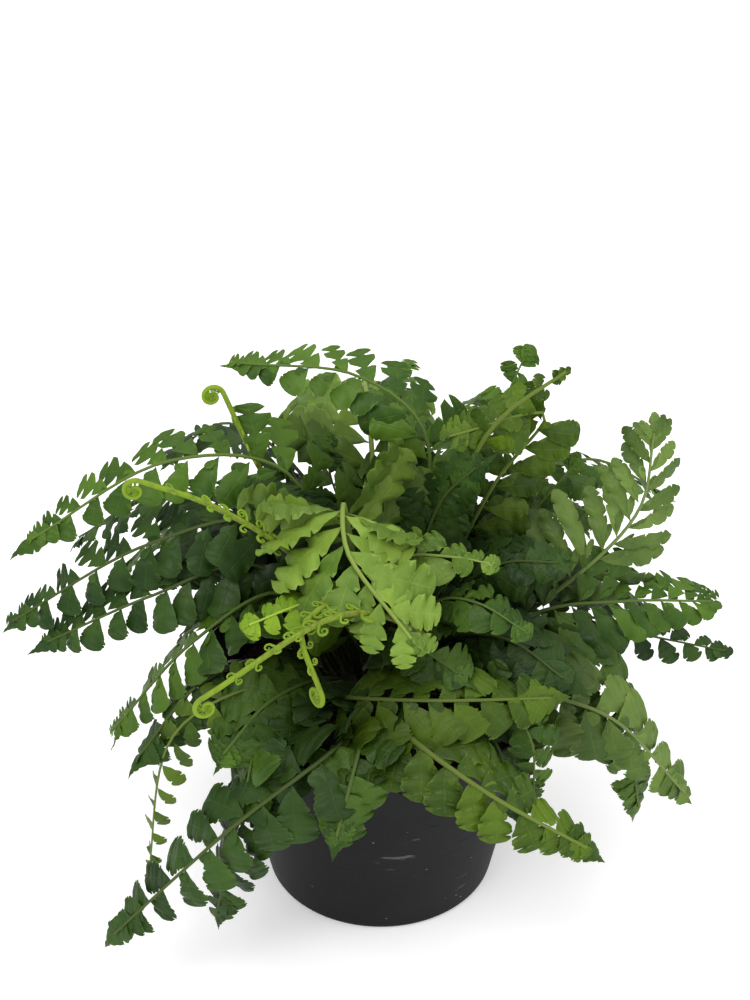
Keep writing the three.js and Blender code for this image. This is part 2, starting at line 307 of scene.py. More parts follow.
@dataclass(frozen=True)
class LeafFinish:
    """Living green: blade, veins and stalk in one material."""

    slot: str
    deep: Colour
    fair: Colour
    vein: Colour
    stem: Colour
    gloss: float = 0.46

    def material(self) -> bpy.types.Material:
        """Builds the material from the leaf's own coordinates and soft noise, with painted shade that darkens
        leaves and stalks near the plant's heart.

        Returns:
            The material.
        """
        s = Surface(self.slot)
        along, across, lobe = s.own_parts("leaf_place")
        shade, under, stalk, reach, depth = (s.own(n) for n in ("shade", "under", "stalk", "reach", "depth"))
        patch = s.noise(90, 4)
        fine = s.noise(1400, 2)
        side = across.size()
        costa = 1 - side.rise(0.015, 0.07)
        ribs = 1 - ((lobe.fract() - 0.5).size()).rise(0.02, 0.12)
        twigs = 1 - (((lobe * 3).fract() - 0.5).size()).rise(0.05, 0.22)
        veins = ribs * (1 - side) + twigs * 0.4 * side
        margin = side.rise(0.86, 1.0)
        tone = shade * 0.75 + (patch - 0.5) * 1.1 + (1 - along) * 0.12
        blade = s.mix(self.deep, self.fair, tone)
        blade = s.mix(blade, self.vein, veins * 0.05)
        blade = s.mix(blade, self.vein, costa * 0.14)
        blade = s.mix(blade, self.fair, margin * 0.5)
        blade = s.mix(blade, self.vein, under * 0.35)
        grain = s.noise(500, 3, s.stretched(1, 1, 0.2))
        young = (reach + (grain - 0.5) * 0.5).rise(0.02, 0.42)
        stem = s.mix(rgb(0.07, 0.05, 0.02), self.stem, young)
        # Painted shade: near the plant's heart, where little light reaches, blade and stalk are mixed towards
        # near black.
        inner = 1 - depth.rise(0.38, 1.0)
        colour = s.mix(s.mix(blade, stem, stalk), rgb(0.003, 0.009, 0.001), inner * 0.88)
        height = patch * 0.7 + fine * 0.12 - veins * 0.3 * (1 - under) - costa * 0.15
        rough = self.gloss + (fine - 0.5) * 0.25 + under * 0.15
        normal = s.bump(height, 0.0005)
        return s.finish(Base_Color=colour, Roughness=rough, Normal=normal, Specular_IOR_Level=0.22)


@dataclass(frozen=True)
class PotFinish:
    """Charcoal moulded plastic, dusty and a little scuffed."""

    slot: str = "pot_plastic"
    body: Colour = rgb(0.0042, 0.0047, 0.0045)
    dust: Colour = rgb(0.0135, 0.0147, 0.014)
    speck: Colour = rgb(0.36, 0.36, 0.34)

    def material(self) -> bpy.types.Material:
        """Builds the material.

        Returns:
            The material.
        """
        s = Surface(self.slot)
        cloud = s.noise(22, 4)
        grain = s.noise(2600, 2)
        scuff = s.noise(70, 5, s.stretched(1.0, 1.0, 5.0)).rise(0.66, 0.72)
        specks = 1 - s.cells(150, s.stretched(1.0, 1.0, 2.4)).rise(0.035, 0.08)
        sparse = s.noise(35, 2).rise(0.5, 0.62)
        dusty = cloud.rise(0.35, 0.75) * 0.45 + (grain - 0.5) * 0.2
        colour = s.mix(self.body, self.dust, dusty)
        colour = s.mix(colour, self.speck, scuff * sparse * 0.22)
        colour = s.mix(colour, self.speck, specks * sparse * 0.8)
        rough = 0.5 + cloud * 0.14 + scuff * 0.12
        rings = (s.noise(900, 1, s.stretched(0.02, 0.02, 1.0)) - 0.5) * 0.2
        height = grain * 0.5 + rings
        normal = s.bump(height, 0.0002)
        return s.finish(Base_Color=colour, Roughness=rough, Normal=normal, Specular_IOR_Level=0.13)


@dataclass(frozen=True)
class EarthFinish:
    """Damp potting mix or scaly crown, with painted shade that darkens its hollows."""

    slot: str
    dark: Colour
    light: Colour
    fleck: Colour

    def material(self) -> bpy.types.Material:
        """Builds the material.

        Returns:
            The material.
        """
        s = Surface(self.slot)
        lumps = s.noise(160, 6)
        fibre = s.noise(700, 4, s.stretched(1.0, 0.25, 1.0))
        shade = s.own("shade")
        # Painted shade: the lumps that raise the bump also set the colour, so the hollows between them are
        # darker.
        colour = s.mix(self.dark, self.light, lumps.rise(0.35, 0.7) * 0.7 + shade * 0.4)
        colour = s.mix(colour, self.fleck, fibre.rise(0.62, 0.75) * 0.5 + shade.rise(0.965, 0.97))
        height = lumps + fibre * 0.4
        rough = 0.86 + (fibre - 0.5) * 0.2
        normal = s.bump(height, 0.001)
        return s.finish(Base_Color=colour, Roughness=rough, Normal=normal, Specular_IOR_Level=0.15)


SOIL_FINISH = EarthFinish(
    "potting_mix",
    dark=rgb(0.012, 0.008, 0.005),
    light=rgb(0.055, 0.035, 0.02),
    fleck=rgb(0.3, 0.26, 0.2),
)
CROWN_FINISH = EarthFinish(
    "rhizome",
    dark=rgb(0.008, 0.006, 0.003),
    light=rgb(0.024, 0.017, 0.008),
    fleck=rgb(0.05, 0.036, 0.018),
)


@dataclass(frozen=True)
class FloorFinish:
    """A plain pale studio floor."""

    tone: Colour = rgb(0.92, 0.92, 0.92)

    def material(self) -> bpy.types.Material:
        """Builds the material.

        Returns:
            The material.
        """
        s = Surface("studio_floor")
        colour = s.mix(self.tone, rgb(0.88, 0.88, 0.88), s.noise(2, 2))
        return s.finish(Base_Color=colour, Roughness=0.9, Emission_Color=rgb(1, 1, 1), Emission_Strength=0.3)


class Green(Enum):
    """The leaf finishes, palest first."""

    LIME = LeafFinish(
        "leaf_lime", rgb(0.1, 0.2, 0.006), rgb(0.22, 0.35, 0.014),
        rgb(0.28, 0.4, 0.05), rgb(0.3, 0.42, 0.04),
    )
    FRESH = LeafFinish(
        "leaf_fresh", rgb(0.075, 0.145, 0.014), rgb(0.22, 0.34, 0.042),
        rgb(0.3, 0.42, 0.1), rgb(0.2, 0.28, 0.05),
    )
    BRIGHT = LeafFinish(
        "leaf_bright", rgb(0.026, 0.06, 0.003), rgb(0.1, 0.175, 0.007),
        rgb(0.15, 0.23, 0.025), rgb(0.12, 0.17, 0.025),
    )
    MID = LeafFinish(
        "leaf_mid", rgb(0.024, 0.064, 0.005), rgb(0.088, 0.175, 0.014),
        rgb(0.12, 0.2, 0.035), rgb(0.085, 0.14, 0.022),
    )
    DARK = LeafFinish(
        "leaf_dark", rgb(0.011, 0.034, 0.004), rgb(0.042, 0.095, 0.011),
        rgb(0.075, 0.13, 0.026), rgb(0.055, 0.085, 0.015),
    )
    GREY = LeafFinish(
        "leaf_grey", rgb(0.046, 0.092, 0.014), rgb(0.15, 0.235, 0.042),
        rgb(0.17, 0.25, 0.07), rgb(0.14, 0.2, 0.05),
    )
    YOUNG = LeafFinish(
        "crozier", rgb(0.1, 0.19, 0.008), rgb(0.2, 0.31, 0.015),
        rgb(0.26, 0.38, 0.05), rgb(0.18, 0.28, 0.014),
    )


# ---- Leaf blades ----


class Edge(Enum):
    """How one tooth's outline goes: pairs of place along the tooth and reach, from its notch on."""

    ENTIRE = ((0.0, 0.99), (0.5, 1.0))
    CRENATE = ((0.0, 0.92), (0.3, 1.0), (0.72, 1.0))


@dataclass(frozen=True)
class BladeForm:
    """The outline and lie of a leaflet one unit long and one wide.

    A side has so many lobes, cut so deep, each with so many teeth. A neck above 1 makes the lobes narrow
    fingers. A larger slant leans them towards the tip.
    """

    lobes: int
    teeth: int
    edge: Edge
    depth: float
    slant: float
    base: float
    point: float
    droop: float
    sickle: float = 0.0
    cup: float = 0.05
    pleat: float = 0.03
    neck: float = 0.7
    length: float = 1.1
    width: float = 1.3


class Blade(Enum):
    """The kinds of leaflet on the plant."""

    LANCE = BladeForm(
        4, 2, Edge.CRENATE, 0.62, 0.5, 1.0, 0.5, 0.16, 0.06,
        cup=0.08, pleat=0.07, neck=1.1, length=1.15, width=1.4,
    )
    FAN = BladeForm(
        3, 3, Edge.CRENATE, 0.26, 0.25, 1.3, 0.42, 0.18, 0.06,
        cup=0.12, length=1.15, width=1.25,
    )
    OAK = BladeForm(
        3, 2, Edge.CRENATE, 0.45, 0.3, 1.05, 0.42, 0.16, 0.05,
        cup=0.12, pleat=0.09, length=1.15, width=1.3,
    )
    PLUME = BladeForm(3, 2, Edge.CRENATE, 0.45, 0.6, 0.8, 0.5, 0.3, 0.3, length=1.15, width=1.2)
    FINGER = BladeForm(
        3, 3, Edge.ENTIRE, 0.75, 0.55, 0.95, 0.35, 0.14, 0.05,
        neck=2.0, length=1.2, width=1.6,
    )
    OVATE = BladeForm(2, 3, Edge.CRENATE, 0.08, 0.4, 1.15, 0.5, 0.2, 0.08, cup=0.12, length=1.1, width=1.4)
    TRIPLE = BladeForm(2, 2, Edge.CRENATE, 0.5, 0.3, 1.0, 0.5, 0.2, 0.05, length=1.2, width=1.5)
    TAIL = BladeForm(3, 2, Edge.CRENATE, 0.4, 0.6, 0.5, 1.3, 0.2, 0.05, cup=0.08, length=2.4, width=1.6)
    LOBE = BladeForm(1, 3, Edge.CRENATE, 0.2, 0.2, 0.9, 0.5, 0.15)
    SCALE = BladeForm(1, 2, Edge.ENTIRE, 0.05, 0.2, 0.5, 0.9, 0.3)


@dataclass
class BladeMaker:
    """Cuts leaflet meshes to a form, each a little different."""

    blade: Blade
    variants: int = 6
    thickness: float = 0.013
    inner: float = 0.55
    blister: float = 0.05
    crowding: float = 1.5
    slit: float = 0.09
    first: float = 0.04
    reach: float = 0.955

    def envelope(self, s: float) -> float:
        """The half width that the lobes reach at a share of the length, from 0 to a half.

        Args:
            s: the share of the length.

        Returns:
            The half width, as a share of the width.
        """
        form = self.blade.value
        widest = form.base / (form.base + form.point)
        most = widest**form.base * (1 - widest) ** form.point
        return 0.5 * s**form.base * (1 - s) ** form.point / most

    def outline(self, rng: random.Random) -> list[tuple[float, float, float]]:
        """One side's outline.

        Args:
            rng: gives the small differences.

        Returns:
            For each point from root to tip: its share of the length, half width and place in its lobe.
        """
        form = self.blade.value
        points = []
        for lobe in range(form.lobes):
            reach = rng.uniform(0.88, 1.08)
            depth = form.depth * rng.uniform(0.85, 1.12)
            for tooth in range(form.teeth):
                for place, out in form.edge.value:
                    share = (tooth + place) / form.teeth
                    swell = math.sin(math.pi * min(share + 0.02, 1)) ** form.neck
                    lobed = 1 - depth * (1 - min(1, 1.5 * swell))
                    crept = share - self.slit * math.sin(2 * math.pi * share)
                    run = self.first + self.reach * (lobe + crept) / form.lobes
                    s = 1 - (1 - run) ** self.crowding
                    points.append((s, self.envelope(s) * out * reach * lobed + 0.004, lobe + share))
        return points

    def lift(self, x: float, y: float, lobe: float, rng_bend: tuple[float, float]) -> float:
        """How high the blade stands at a place.

        Args:
            x: distance along the midrib.
            y: distance to one side.
            lobe: the place within the lobe, whose middle stands highest.
            rng_bend: this leaflet's own droop and twist.

        Returns:
            The height, as a share of the length.
        """
        form = self.blade.value
        droop, twist = rng_bend
        pleat = form.pleat * math.cos(2 * math.pi * (lobe - 0.5)) * abs(y) * 2
        return pleat - form.cup * (2 * y) ** 2 - droop * x * x + twist * x * y

    def mesh(self, name: str, seed: int) -> bpy.types.Mesh:
        """One leaflet as a closed thin mesh.

        Args:
            name: the mesh's name.
            seed: makes it different from its sisters.

        Returns:
            The mesh, with its place, under and sharp-edge attributes.
        """
        form = self.blade.value
        rng = random.Random(seed)
        bend = (form.droop * rng.uniform(0.4, 1.7), rng.uniform(-0.25, 0.25))
        sickle = form.sickle * rng.uniform(0.5, 1.5)
        bm = bmesh.new()
        place = bm.verts.layers.float_vector.new("leaf_place")
        under = bm.faces.layers.float.new("under")

        def vertex(
            s: float, slide: float, y: float, across: float, lobe: float, drop: float
        ) -> bmesh.types.BMVert:
            """A vertex of the blade, carried by its droop and sickle.

            Args:
                s: its share of the length.
                slide: how far it is pushed towards the tip.
                y: its distance to one side.
                across: the same, as a share of the way to the edge.
                lobe: its place in its lobe.
                drop: how far it lies below the upper face.

            Returns:
                The vertex.
            """
            x = s + slide * (1 - s * s)
            z = self.lift(x, y, lobe, bend) - drop
            z += self.blister * noise.noise(Vector((x * 4.5, y * 4.5, seed))) * min(1, 4 * s)
            made = bm.verts.new((x, y + sickle * x * x, z))
            made[place] = (s, across, lobe)
            return made

        sides = [self.outline(rng), self.outline(rng)]
        root = vertex(0, 0, 0, 0, 0, self.thickness / 2)
        tip = vertex(1, 0, 0, 0, form.lobes, self.thickness / 2)
        costas = {}
        for below in (False, True):
            drop = self.thickness + 0.006 if below else 0.003
            middle = [vertex(s * 0.97, 0, 0, 0, lobe, drop) for s, _, lobe in sides[0]]
            costas[below] = [root, *middle, tip]
        for sign, points in zip((1, -1), sides):
            slope = form.slant * form.width / 3
            rim = [vertex(s, slope * w, sign * w, sign, lobe, self.thickness / 2) for s, w, lobe in points]
            rim = [root, *rim, tip]
            for below in (False, True):
                drop = self.thickness if below else 0
                part = self.inner
                rows = [root]
                for s, w, lobe in points:
                    rows.append(vertex(s, slope * w * part, sign * w * part, sign * part, lobe, drop))
                rows.append(tip)
                flip = below if sign > 0 else not below
                for lower, upper in ((costas[below], rows), (rows, rim)):
                    for i in range(len(rim) - 1):
                        corners = [lower[i], lower[i + 1], upper[i + 1], upper[i]]
                        unique = list(dict.fromkeys(corners))
                        if len(unique) < 3:
                            continue
                        made = bm.faces.new(unique[::-1] if flip else unique)
                        made[under] = 1.0 if below else 0.0
                        made.smooth = True
            for a, b in zip(rim, rim[1:]):
                edge = bm.edges.get((a, b))
                if edge:
                    edge.smooth = False
        return made_mesh(bm, name)

    def collection(self) -> bpy.types.Collection:
        """A hidden-away collection of the leaflet in its variants.

        Returns:
            The collection.
        """
        kind = self.blade.name.lower()
        shelf = bpy.data.collections.new(kind)
        for variant in range(self.variants):
            mesh = self.mesh(f"{kind}_{variant}", 97 * variant + len(kind))
            shelf.objects.link(bpy.data.objects.new(f"{kind}_{variant}", mesh))
        return shelf


@dataclass
class Shelf:
    """Every kind of leaflet in its variants, and the small coils, to be picked by number."""

    variants: int = 6
    coils: tuple = (0.9, 1.2, 1.45)
    collection: Optional[bpy.types.Collection] = None

    def __post_init__(self) -> None:
        """Cuts all the leaflets, named so that they keep their order."""
        self.collection = bpy.data.collections.new("leaflets")
        for order, blade in enumerate(Blade):
            maker = BladeMaker(blade)
            for variant in range(self.variants):
                name = f"leaflet_{order:02d}_{variant}_{blade.name.lower()}"
                self.put(name, maker.mesh(name, 97 * variant + order))
        for variant, turns in enumerate(self.coils):
            name = f"leaflet_99_{variant}_coil"
            self.put(name, small_coil(name, turns))

    def put(self, name: str, mesh: bpy.types.Mesh) -> None:
        """Lays one mesh on the shelf."""
        self.collection.objects.link(bpy.data.objects.new(name, mesh))

    def pick(self, blade: Blade, rng: random.Random) -> int:
        """The number of a leaflet of that kind, any of its variants."""
        return list(Blade).index(blade) * self.variants + rng.randrange(self.variants)

    def pick_coil(self, rng: random.Random) -> int:
        """The number of one of the small coils."""
        return len(Blade) * self.variants + rng.randrange(len(self.coils))


# ---- Routes ----


class Route:
    """A smooth line through a few points, measured along its length."""

    DIVISIONS = 200

    def __init__(self, points: list[Vector]) -> None:
        """Makes the line, a centripetal Catmull-Rom spline, through the points.

        Args:
            points: the points, in metres.
        """
        before = points[0] * 2 - points[1]
        after = points[-1] * 2 - points[-2]
        self.points = [before, *points, after]
        self.spans = len(points) - 1
        line = [self.at(i / self.DIVISIONS) for i in range(self.DIVISIONS + 1)]
        self.lengths = [0.0]
        for a, b in zip(line, line[1:]):
            self.lengths.append(self.lengths[-1] + (b - a).length)

    def at(self, t: float) -> Vector:
        """The point at a share of the spans.

        Args:
            t: the share of the spans.

        Returns:
            The point.
        """
        span = min(int(t * self.spans), self.spans - 1)
        w = t * self.spans - span
        p0, p1, p2, p3 = self.points[span : span + 4]
        d0, d1, d2 = (max((b - a).length, 1e-9) ** 0.5 for a, b in ((p0, p1), (p1, p2), (p2, p3)))
        t1 = ((p1 - p0) / d0 - (p2 - p0) / (d0 + d1) + (p2 - p1) / d1) * d1
        t2 = ((p2 - p1) / d1 - (p3 - p1) / (d1 + d2) + (p3 - p2) / d2) * d1
        return p1 + t1 * w + (p1 * -3 + p2 * 3 - t1 * 2 - t2) * w**2 + (p1 * 2 - p2 * 2 + t1 + t2) * w**3

    def share(self, u: float) -> float:
        """Turns a share of the length into a share of the spans.

        Args:
            u: the share of the length.

        Returns:
            The share of the spans.
        """
        goal = u * self.lengths[-1]
        low, high = 0, self.DIVISIONS
        while low < high:
            middle = (low + high) // 2
            low, high = (middle + 1, high) if self.lengths[middle] < goal else (low, middle)
        i = max(low, 1)
        step = self.lengths[i] - self.lengths[i - 1]
        return (i - 1 + (goal - self.lengths[i - 1]) / step) / self.DIVISIONS

    def along(self, u: float) -> Vector:
        """The point at a share of the length."""
        return self.at(self.share(u))

    def tangent(self, u: float) -> Vector:
        """The direction at a share of the length."""
        t = self.share(u)
        return (self.at(min(t + 1e-4, 1)) - self.at(max(t - 1e-4, 0))).normalized()

    def chord(self, u: float, steps: int) -> Vector:
        """The point at a share of the length on the straight stretches between equal steps."""
        step = min(int(u * steps), steps - 1)
        return self.along(step / steps).lerp(self.along((step + 1) / steps), u * steps - step)

    def frame(self, u: float, face: Vector) -> tuple[Vector, Vector, Vector]:
        """The line's own directions.

        Args:
            u: the share of the length.
            face: roughly where the upper side looks.

        Returns:
            Along the line, out of its upper side, and across it.
        """
        along = self.tangent(u)
        normal = (face - along * face.dot(along)).normalized()
        return along, normal, normal.cross(along)


# ---- Where the plant grows ----


@dataclass
class GrowingPlaces:
    """The places on the crown where stalks stand, in rings, taken one by one."""

    pot_height: float = 88
    soil_drop: float = 11
    gap: float = 0.3
    crown_radius: float = 22
    crown_height: float = 8
    foot_lift: float = 1.2
    rings: tuple = ((0.2, 8), (0.36, 14), (0.52, 20), (0.68, 26), (0.84, 32))
    free: list[Vector] = field(default_factory=list)

    def __post_init__(self) -> None:
        """Lays out the rings."""
        bottom = self.pot_height - self.soil_drop + self.gap
        for share, places in self.rings:
            radius = share * self.crown_radius
            rise = self.crown_height * math.sqrt(1 - share**2)
            for i in range(places):
                a = 2 * math.pi * i / places
                height = bottom + rise + self.foot_lift
                self.free.append(Vector((radius * math.cos(a), radius * math.sin(a), height)))

    def take(self, foot_radius: float, knee: Vector) -> Vector:
        """Takes the free place nearest to the wanted one.

        Args:
            foot_radius: the wanted distance from the axis.
            knee: the stalk's next point, which gives the side.

        Returns:
            The place, in millimetres.
        """
        wanted = knee.xy * (foot_radius / knee.xy.length)
        nearest = min(self.free, key=lambda place: (place.xy - wanted).length)
        self.free.remove(nearest)
        return nearest

    def route(self, foot_radius: float, points: Iterable[tuple]) -> Route:
        """The route of a stalk.

        Args:
            foot_radius: how far from the axis it stands.
            points: its knee, crest and tip, in millimetres, with heights from the rim.

        Returns:
            The route, in metres.
        """
        drawn = [Vector((x, y, self.pot_height + height)) for x, y, height in points]
        foot = self.take(foot_radius, drawn[0])
        return Route([point * MM for point in (foot, *drawn)])


class Face(Enum):
    """Which way a frond's upper side looks."""

    UP = (0, 0, 1)
    FRONT_UP = (0, -0.6, 0.8)
    FRONT = (0, -1, 0.25)
    LEFT_FRONT = (-0.6, -0.75, 0.3)
    LEFT_UP = (-0.5, -0.2, 0.8)
    RIGHT_FRONT = (0.6, -0.7, 0.4)
    BACK_UP = (0, 0.6, 0.8)
    BACK = (0, 1, 0.25)


@dataclass(frozen=True)
class Leafing:
    """How a frond carries its leaflets, in millimetres. Those above its stalk and below it may differ."""

    pairs: int
    bare: float
    length: float
    width: float
    above: Blade
    below: Blade
    stem: float = 0.85
    end: Blade = Blade.TRIPLE
    tip_leaflets: int = 5


class Habit(Enum):
    """The ways in which the fronds are leafy."""

    BROAD = Leafing(10, 0.4, 31, 11, Blade.LANCE, Blade.LANCE, 1.25, Blade.LANCE, 2)
    PLUME = Leafing(10, 0.38, 26, 6.5, Blade.PLUME, Blade.PLUME, 0.95)
    FEATHER = Leafing(10, 0.38, 20, 6.5, Blade.FINGER, Blade.OVATE)
    SPRAY = Leafing(11, 0.28, 18, 8, Blade.FINGER, Blade.OVATE, 0.85, Blade.TAIL)
    ROUND = Leafing(9, 0.28, 18, 12, Blade.FAN, Blade.FAN, 0.9, Blade.TAIL)
    SCALLOP = Leafing(9, 0.28, 18, 12, Blade.OAK, Blade.OAK, 1.15, Blade.TAIL)
    PLAIN = Leafing(9, 0.28, 18, 12, Blade.OVATE, Blade.OVATE, 0.8, Blade.TAIL)
    SMALL = Leafing(8, 0.32, 13, 7, Blade.OAK, Blade.TRIPLE, 0.7)
    THIN = Leafing(9, 0.36, 9, 4.5, Blade.TRIPLE, Blade.TRIPLE, 0.6)
    SPARSE = Leafing(4, 0.72, 8, 4, Blade.TRIPLE, Blade.TRIPLE, 1.25)


@dataclass(frozen=True)
class Plan:
    """One frond: foot radius, then knee, crest and tip, in millimetres, with heights from the rim."""

    name: str
    foot: float
    knee: tuple
    crest: tuple
    tip: tuple
    habit: Habit
    face: Face
    green: Green


PLANS = (
    Plan("hero_frond", 6, (-12, -22, 76), (-10, -47, 72), (9, -66, 54),
         Habit.BROAD, Face.FRONT_UP, Green.FRESH),
    Plan("front_cross_frond", 14, (-14, -45, 17), (18, -62, 28), (53, -58, 26),
         Habit.ROUND, Face.FRONT_UP, Green.BRIGHT),
    Plan("front_spill_frond", 17, (6, -62, 17), (32, -82, 8), (64, -86, -11),
         Habit.SCALLOP, Face.FRONT_UP, Green.BRIGHT),
    Plan("right_plume_frond", 14, (56, -6, 29), (86, -2, 62), (90, 4, 88),
         Habit.PLUME, Face.FRONT, Green.GREY),
    Plan("right_mid_frond", 18, (54, -10, 27), (83, -8, 30), (113, -5, 28),
         Habit.FEATHER, Face.FRONT_UP, Green.MID),
    Plan("right_low_frond", 19, (51, -38, 13), (76, -42, 6), (102, -46, -22),
         Habit.ROUND, Face.RIGHT_FRONT, Green.GREY),
    Plan("left_high_frond", 8, (-32, 0, 76), (-69, -8, 84), (-113, -22, 63),
         Habit.SPRAY, Face.FRONT_UP, Green.MID),
    Plan("left_long_frond", 12, (-38, -10, 62), (-76, -15, 57), (-123, -20, 30),
         Habit.SPRAY, Face.FRONT_UP, Green.DARK),
    Plan("left_mid_frond", 16, (-42, -12, 47), (-76, -22, 41), (-111, -25, 25),
         Habit.SPRAY, Face.FRONT_UP, Green.DARK),
    Plan("left_low_frond", 17, (-34, -20, 41), (-61, -35, 32), (-89, -42, 1),
         Habit.SPRAY, Face.LEFT_UP, Green.MID),
    Plan("top_left_frond", 5, (15, 15, 82), (-7, 22, 100), (-47, 20, 106),
         Habit.SPRAY, Face.FRONT_UP, Green.MID),
    Plan("top_right_frond", 8, (37, 20, 70), (42, 25, 89), (49, 28, 106),
         Habit.SMALL, Face.FRONT, Green.MID),
    Plan("bright_top_frond", 9, (38, 8, 66), (54, 6, 94), (22, -6, 92),
         Habit.SPRAY, Face.FRONT_UP, Green.BRIGHT),
    Plan("tall_stalk_frond", 11, (26, -2, 71), (38, -6, 98), (58, -10, 117),
         Habit.SPARSE, Face.FRONT, Green.BRIGHT),
    Plan("big_hanging_frond", 19, (-15, -66, 12), (-46, -80, -7), (-87, -82, -51),
         Habit.ROUND, Face.LEFT_FRONT, Green.DARK),
    Plan("dark_hanging_frond", 19, (-31, -58, 10), (-44, -72, -8), (-54, -76, -48),
         Habit.ROUND, Face.LEFT_FRONT, Green.DARK),
    Plan("thin_hanging_frond", 18, (-45, -50, 23), (-66, -58, 12), (-79, -58, -51),
         Habit.THIN, Face.LEFT_FRONT, Green.BRIGHT),
    Plan("right_drip_frond", 18, (38, -52, 21), (47, -64, 15), (49, -66, -5),
         Habit.SMALL, Face.FRONT, Green.MID),
    Plan("right_far_frond", 19, (63, 5, 16), (95, 5, 7), (121, 0, 4),
         Habit.SMALL, Face.FRONT_UP, Green.DARK),
    Plan("young_tuft_frond", 10, (-18, -42, 52), (-27, -56, 59), (-40, -66, 59),
         Habit.SMALL, Face.FRONT_UP, Green.LIME),
    Plan("front_mid_frond", 9, (6, -30, 60), (22, -38, 66), (34, -42, 66),
         Habit.SMALL, Face.FRONT_UP, Green.FRESH),
    Plan("front_leaf_frond", 13, (19, -35, 48), (31, -45, 53), (45, -50, 46),
         Habit.SMALL, Face.FRONT_UP, Green.MID),
    Plan("left_round_frond", 14, (-40, -2, 49), (-56, 0, 47), (-79, -2, 37),
         Habit.PLAIN, Face.FRONT_UP, Green.DARK),
    Plan("small_upright_frond", 7, (-12, 12, 50), (-17, 18, 63), (-19, 20, 75),
         Habit.SMALL, Face.FRONT, Green.MID),
    Plan("mid_right_frond", 12, (41, 5, 42), (55, 12, 57), (66, 15, 71),
         Habit.SMALL, Face.FRONT, Green.MID),
    Plan("right_inner_frond", 13, (22, -8, 30), (40, -16, 50), (58, -22, 54),
         Habit.SPRAY, Face.FRONT_UP, Green.DARK),
    Plan("front_right_frond", 16, (24, -24, 26), (42, -38, 34), (58, -50, 28),
         Habit.ROUND, Face.FRONT_UP, Green.DARK),
    Plan("front_left_frond", 16, (-20, -34, 16), (-36, -52, 20), (-50, -66, 10),
         Habit.SCALLOP, Face.FRONT_UP, Green.MID),
    Plan("left_front_frond", 18, (-34, -30, 22), (-58, -44, 22), (-78, -56, 2),
         Habit.ROUND, Face.LEFT_UP, Green.DARK),
    Plan("upper_left_frond", 8, (-16, -6, 42), (-28, -10, 64), (-40, -16, 76),
         Habit.SPRAY, Face.FRONT_UP, Green.DARK),
    Plan("upper_right_frond", 6, (12, -8, 44), (20, -12, 72), (30, -20, 88),
         Habit.SPRAY, Face.FRONT_UP, Green.DARK),
    Plan("rim_left_frond", 19, (-26, -42, 14), (-38, -58, 14), (-44, -74, -6),
         Habit.ROUND, Face.LEFT_FRONT, Green.MID),
    Plan("rim_front_frond", 19, (-5, -46, 10), (-7, -66, 12), (-14, -84, -8),
         Habit.SCALLOP, Face.FRONT_UP, Green.MID),
    Plan("rim_right_frond", 18, (24, -42, 14), (36, -58, 10), (44, -74, -8),
         Habit.SMALL, Face.FRONT, Green.DARK),
    Plan("centre_frond", 12, (2, -26, 30), (8, -42, 38), (24, -56, 34),
         Habit.SPRAY, Face.FRONT_UP, Green.MID),
    Plan("right_hanging_frond", 19, (60, -22, 16), (80, -28, 4), (90, -32, -40),
         Habit.ROUND, Face.RIGHT_FRONT, Green.MID),
    Plan("back_right_frond", 14, (32, 17, 43), (70, 34, 62), (105, 55, 37),
         Habit.SPRAY, Face.UP, Green.MID),
    Plan("back_right_low_frond", 18, (40, 22, 22), (76, 40, 14), (104, 54, -14),
         Habit.ROUND, Face.UP, Green.DARK),
    Plan("back_corner_frond", 16, (28, 30, 34), (58, 62, 36), (82, 88, 4),
         Habit.SPRAY, Face.BACK_UP, Green.MID),
    Plan("back_tall_right_frond", 9, (18, 34, 59), (38, 72, 70), (58, 110, 42),
         Habit.SPRAY, Face.BACK_UP, Green.MID),
    Plan("back_low_frond", 16, (8, 36, 30), (14, 74, 30), (20, 106, -6),
         Habit.ROUND, Face.BACK_UP, Green.DARK),
    Plan("back_arch_frond", 7, (-3, 32, 64), (-6, 70, 76), (-10, 112, 52),
         Habit.BROAD, Face.BACK_UP, Green.FRESH),
    Plan("back_left_low_frond", 18, (-16, 34, 28), (-32, 68, 24), (-44, 96, -16),
         Habit.ROUND, Face.BACK_UP, Green.MID),
    Plan("back_left_frond", 12, (-24, 30, 52), (-54, 62, 62), (-82, 92, 34),
         Habit.SPRAY, Face.BACK_UP, Green.DARK),
    Plan("left_back_low_frond", 18, (-32, 22, 32), (-70, 44, 32), (-100, 62, 0),
         Habit.SPRAY, Face.UP, Green.MID),
    Plan("left_back_frond", 13, (-34, 12, 42), (-74, 26, 54), (-110, 38, 28),
         Habit.SPRAY, Face.UP, Green.DARK),
    Plan("back_upright_frond", 4, (5, 22, 56), (6, 42, 78), (8, 68, 84),
         Habit.SPRAY, Face.BACK_UP, Green.MID),
    Plan("back_hanging_frond", 19, (10, 62, 16), (12, 84, 4), (14, 92, -43),
         Habit.ROUND, Face.BACK, Green.DARK),
    Plan("back_left_hanging_frond", 19, (-44, 48, 16), (-58, 64, 4), (-68, 72, -38),
         Habit.THIN, Face.BACK, Green.MID),
)

CURLED = (
    ("long_crozier", 12, ((15, -46, 40), (-11, -66, 63), (-54, -82, 43))),
    ("hook_crozier", 12, ((-8, -48, 58), (-24, -68, 59), (-18, -76, 40))),
    ("left_crozier", 10, ((-24, -34, 60), (-53, -32, 81), (-75, -34, 91))),
    ("upper_crozier", 10, ((-30, 4, 53), (-42, 2, 80), (-51, 0, 105))),
)

# ---- The tree that grows a frond ----


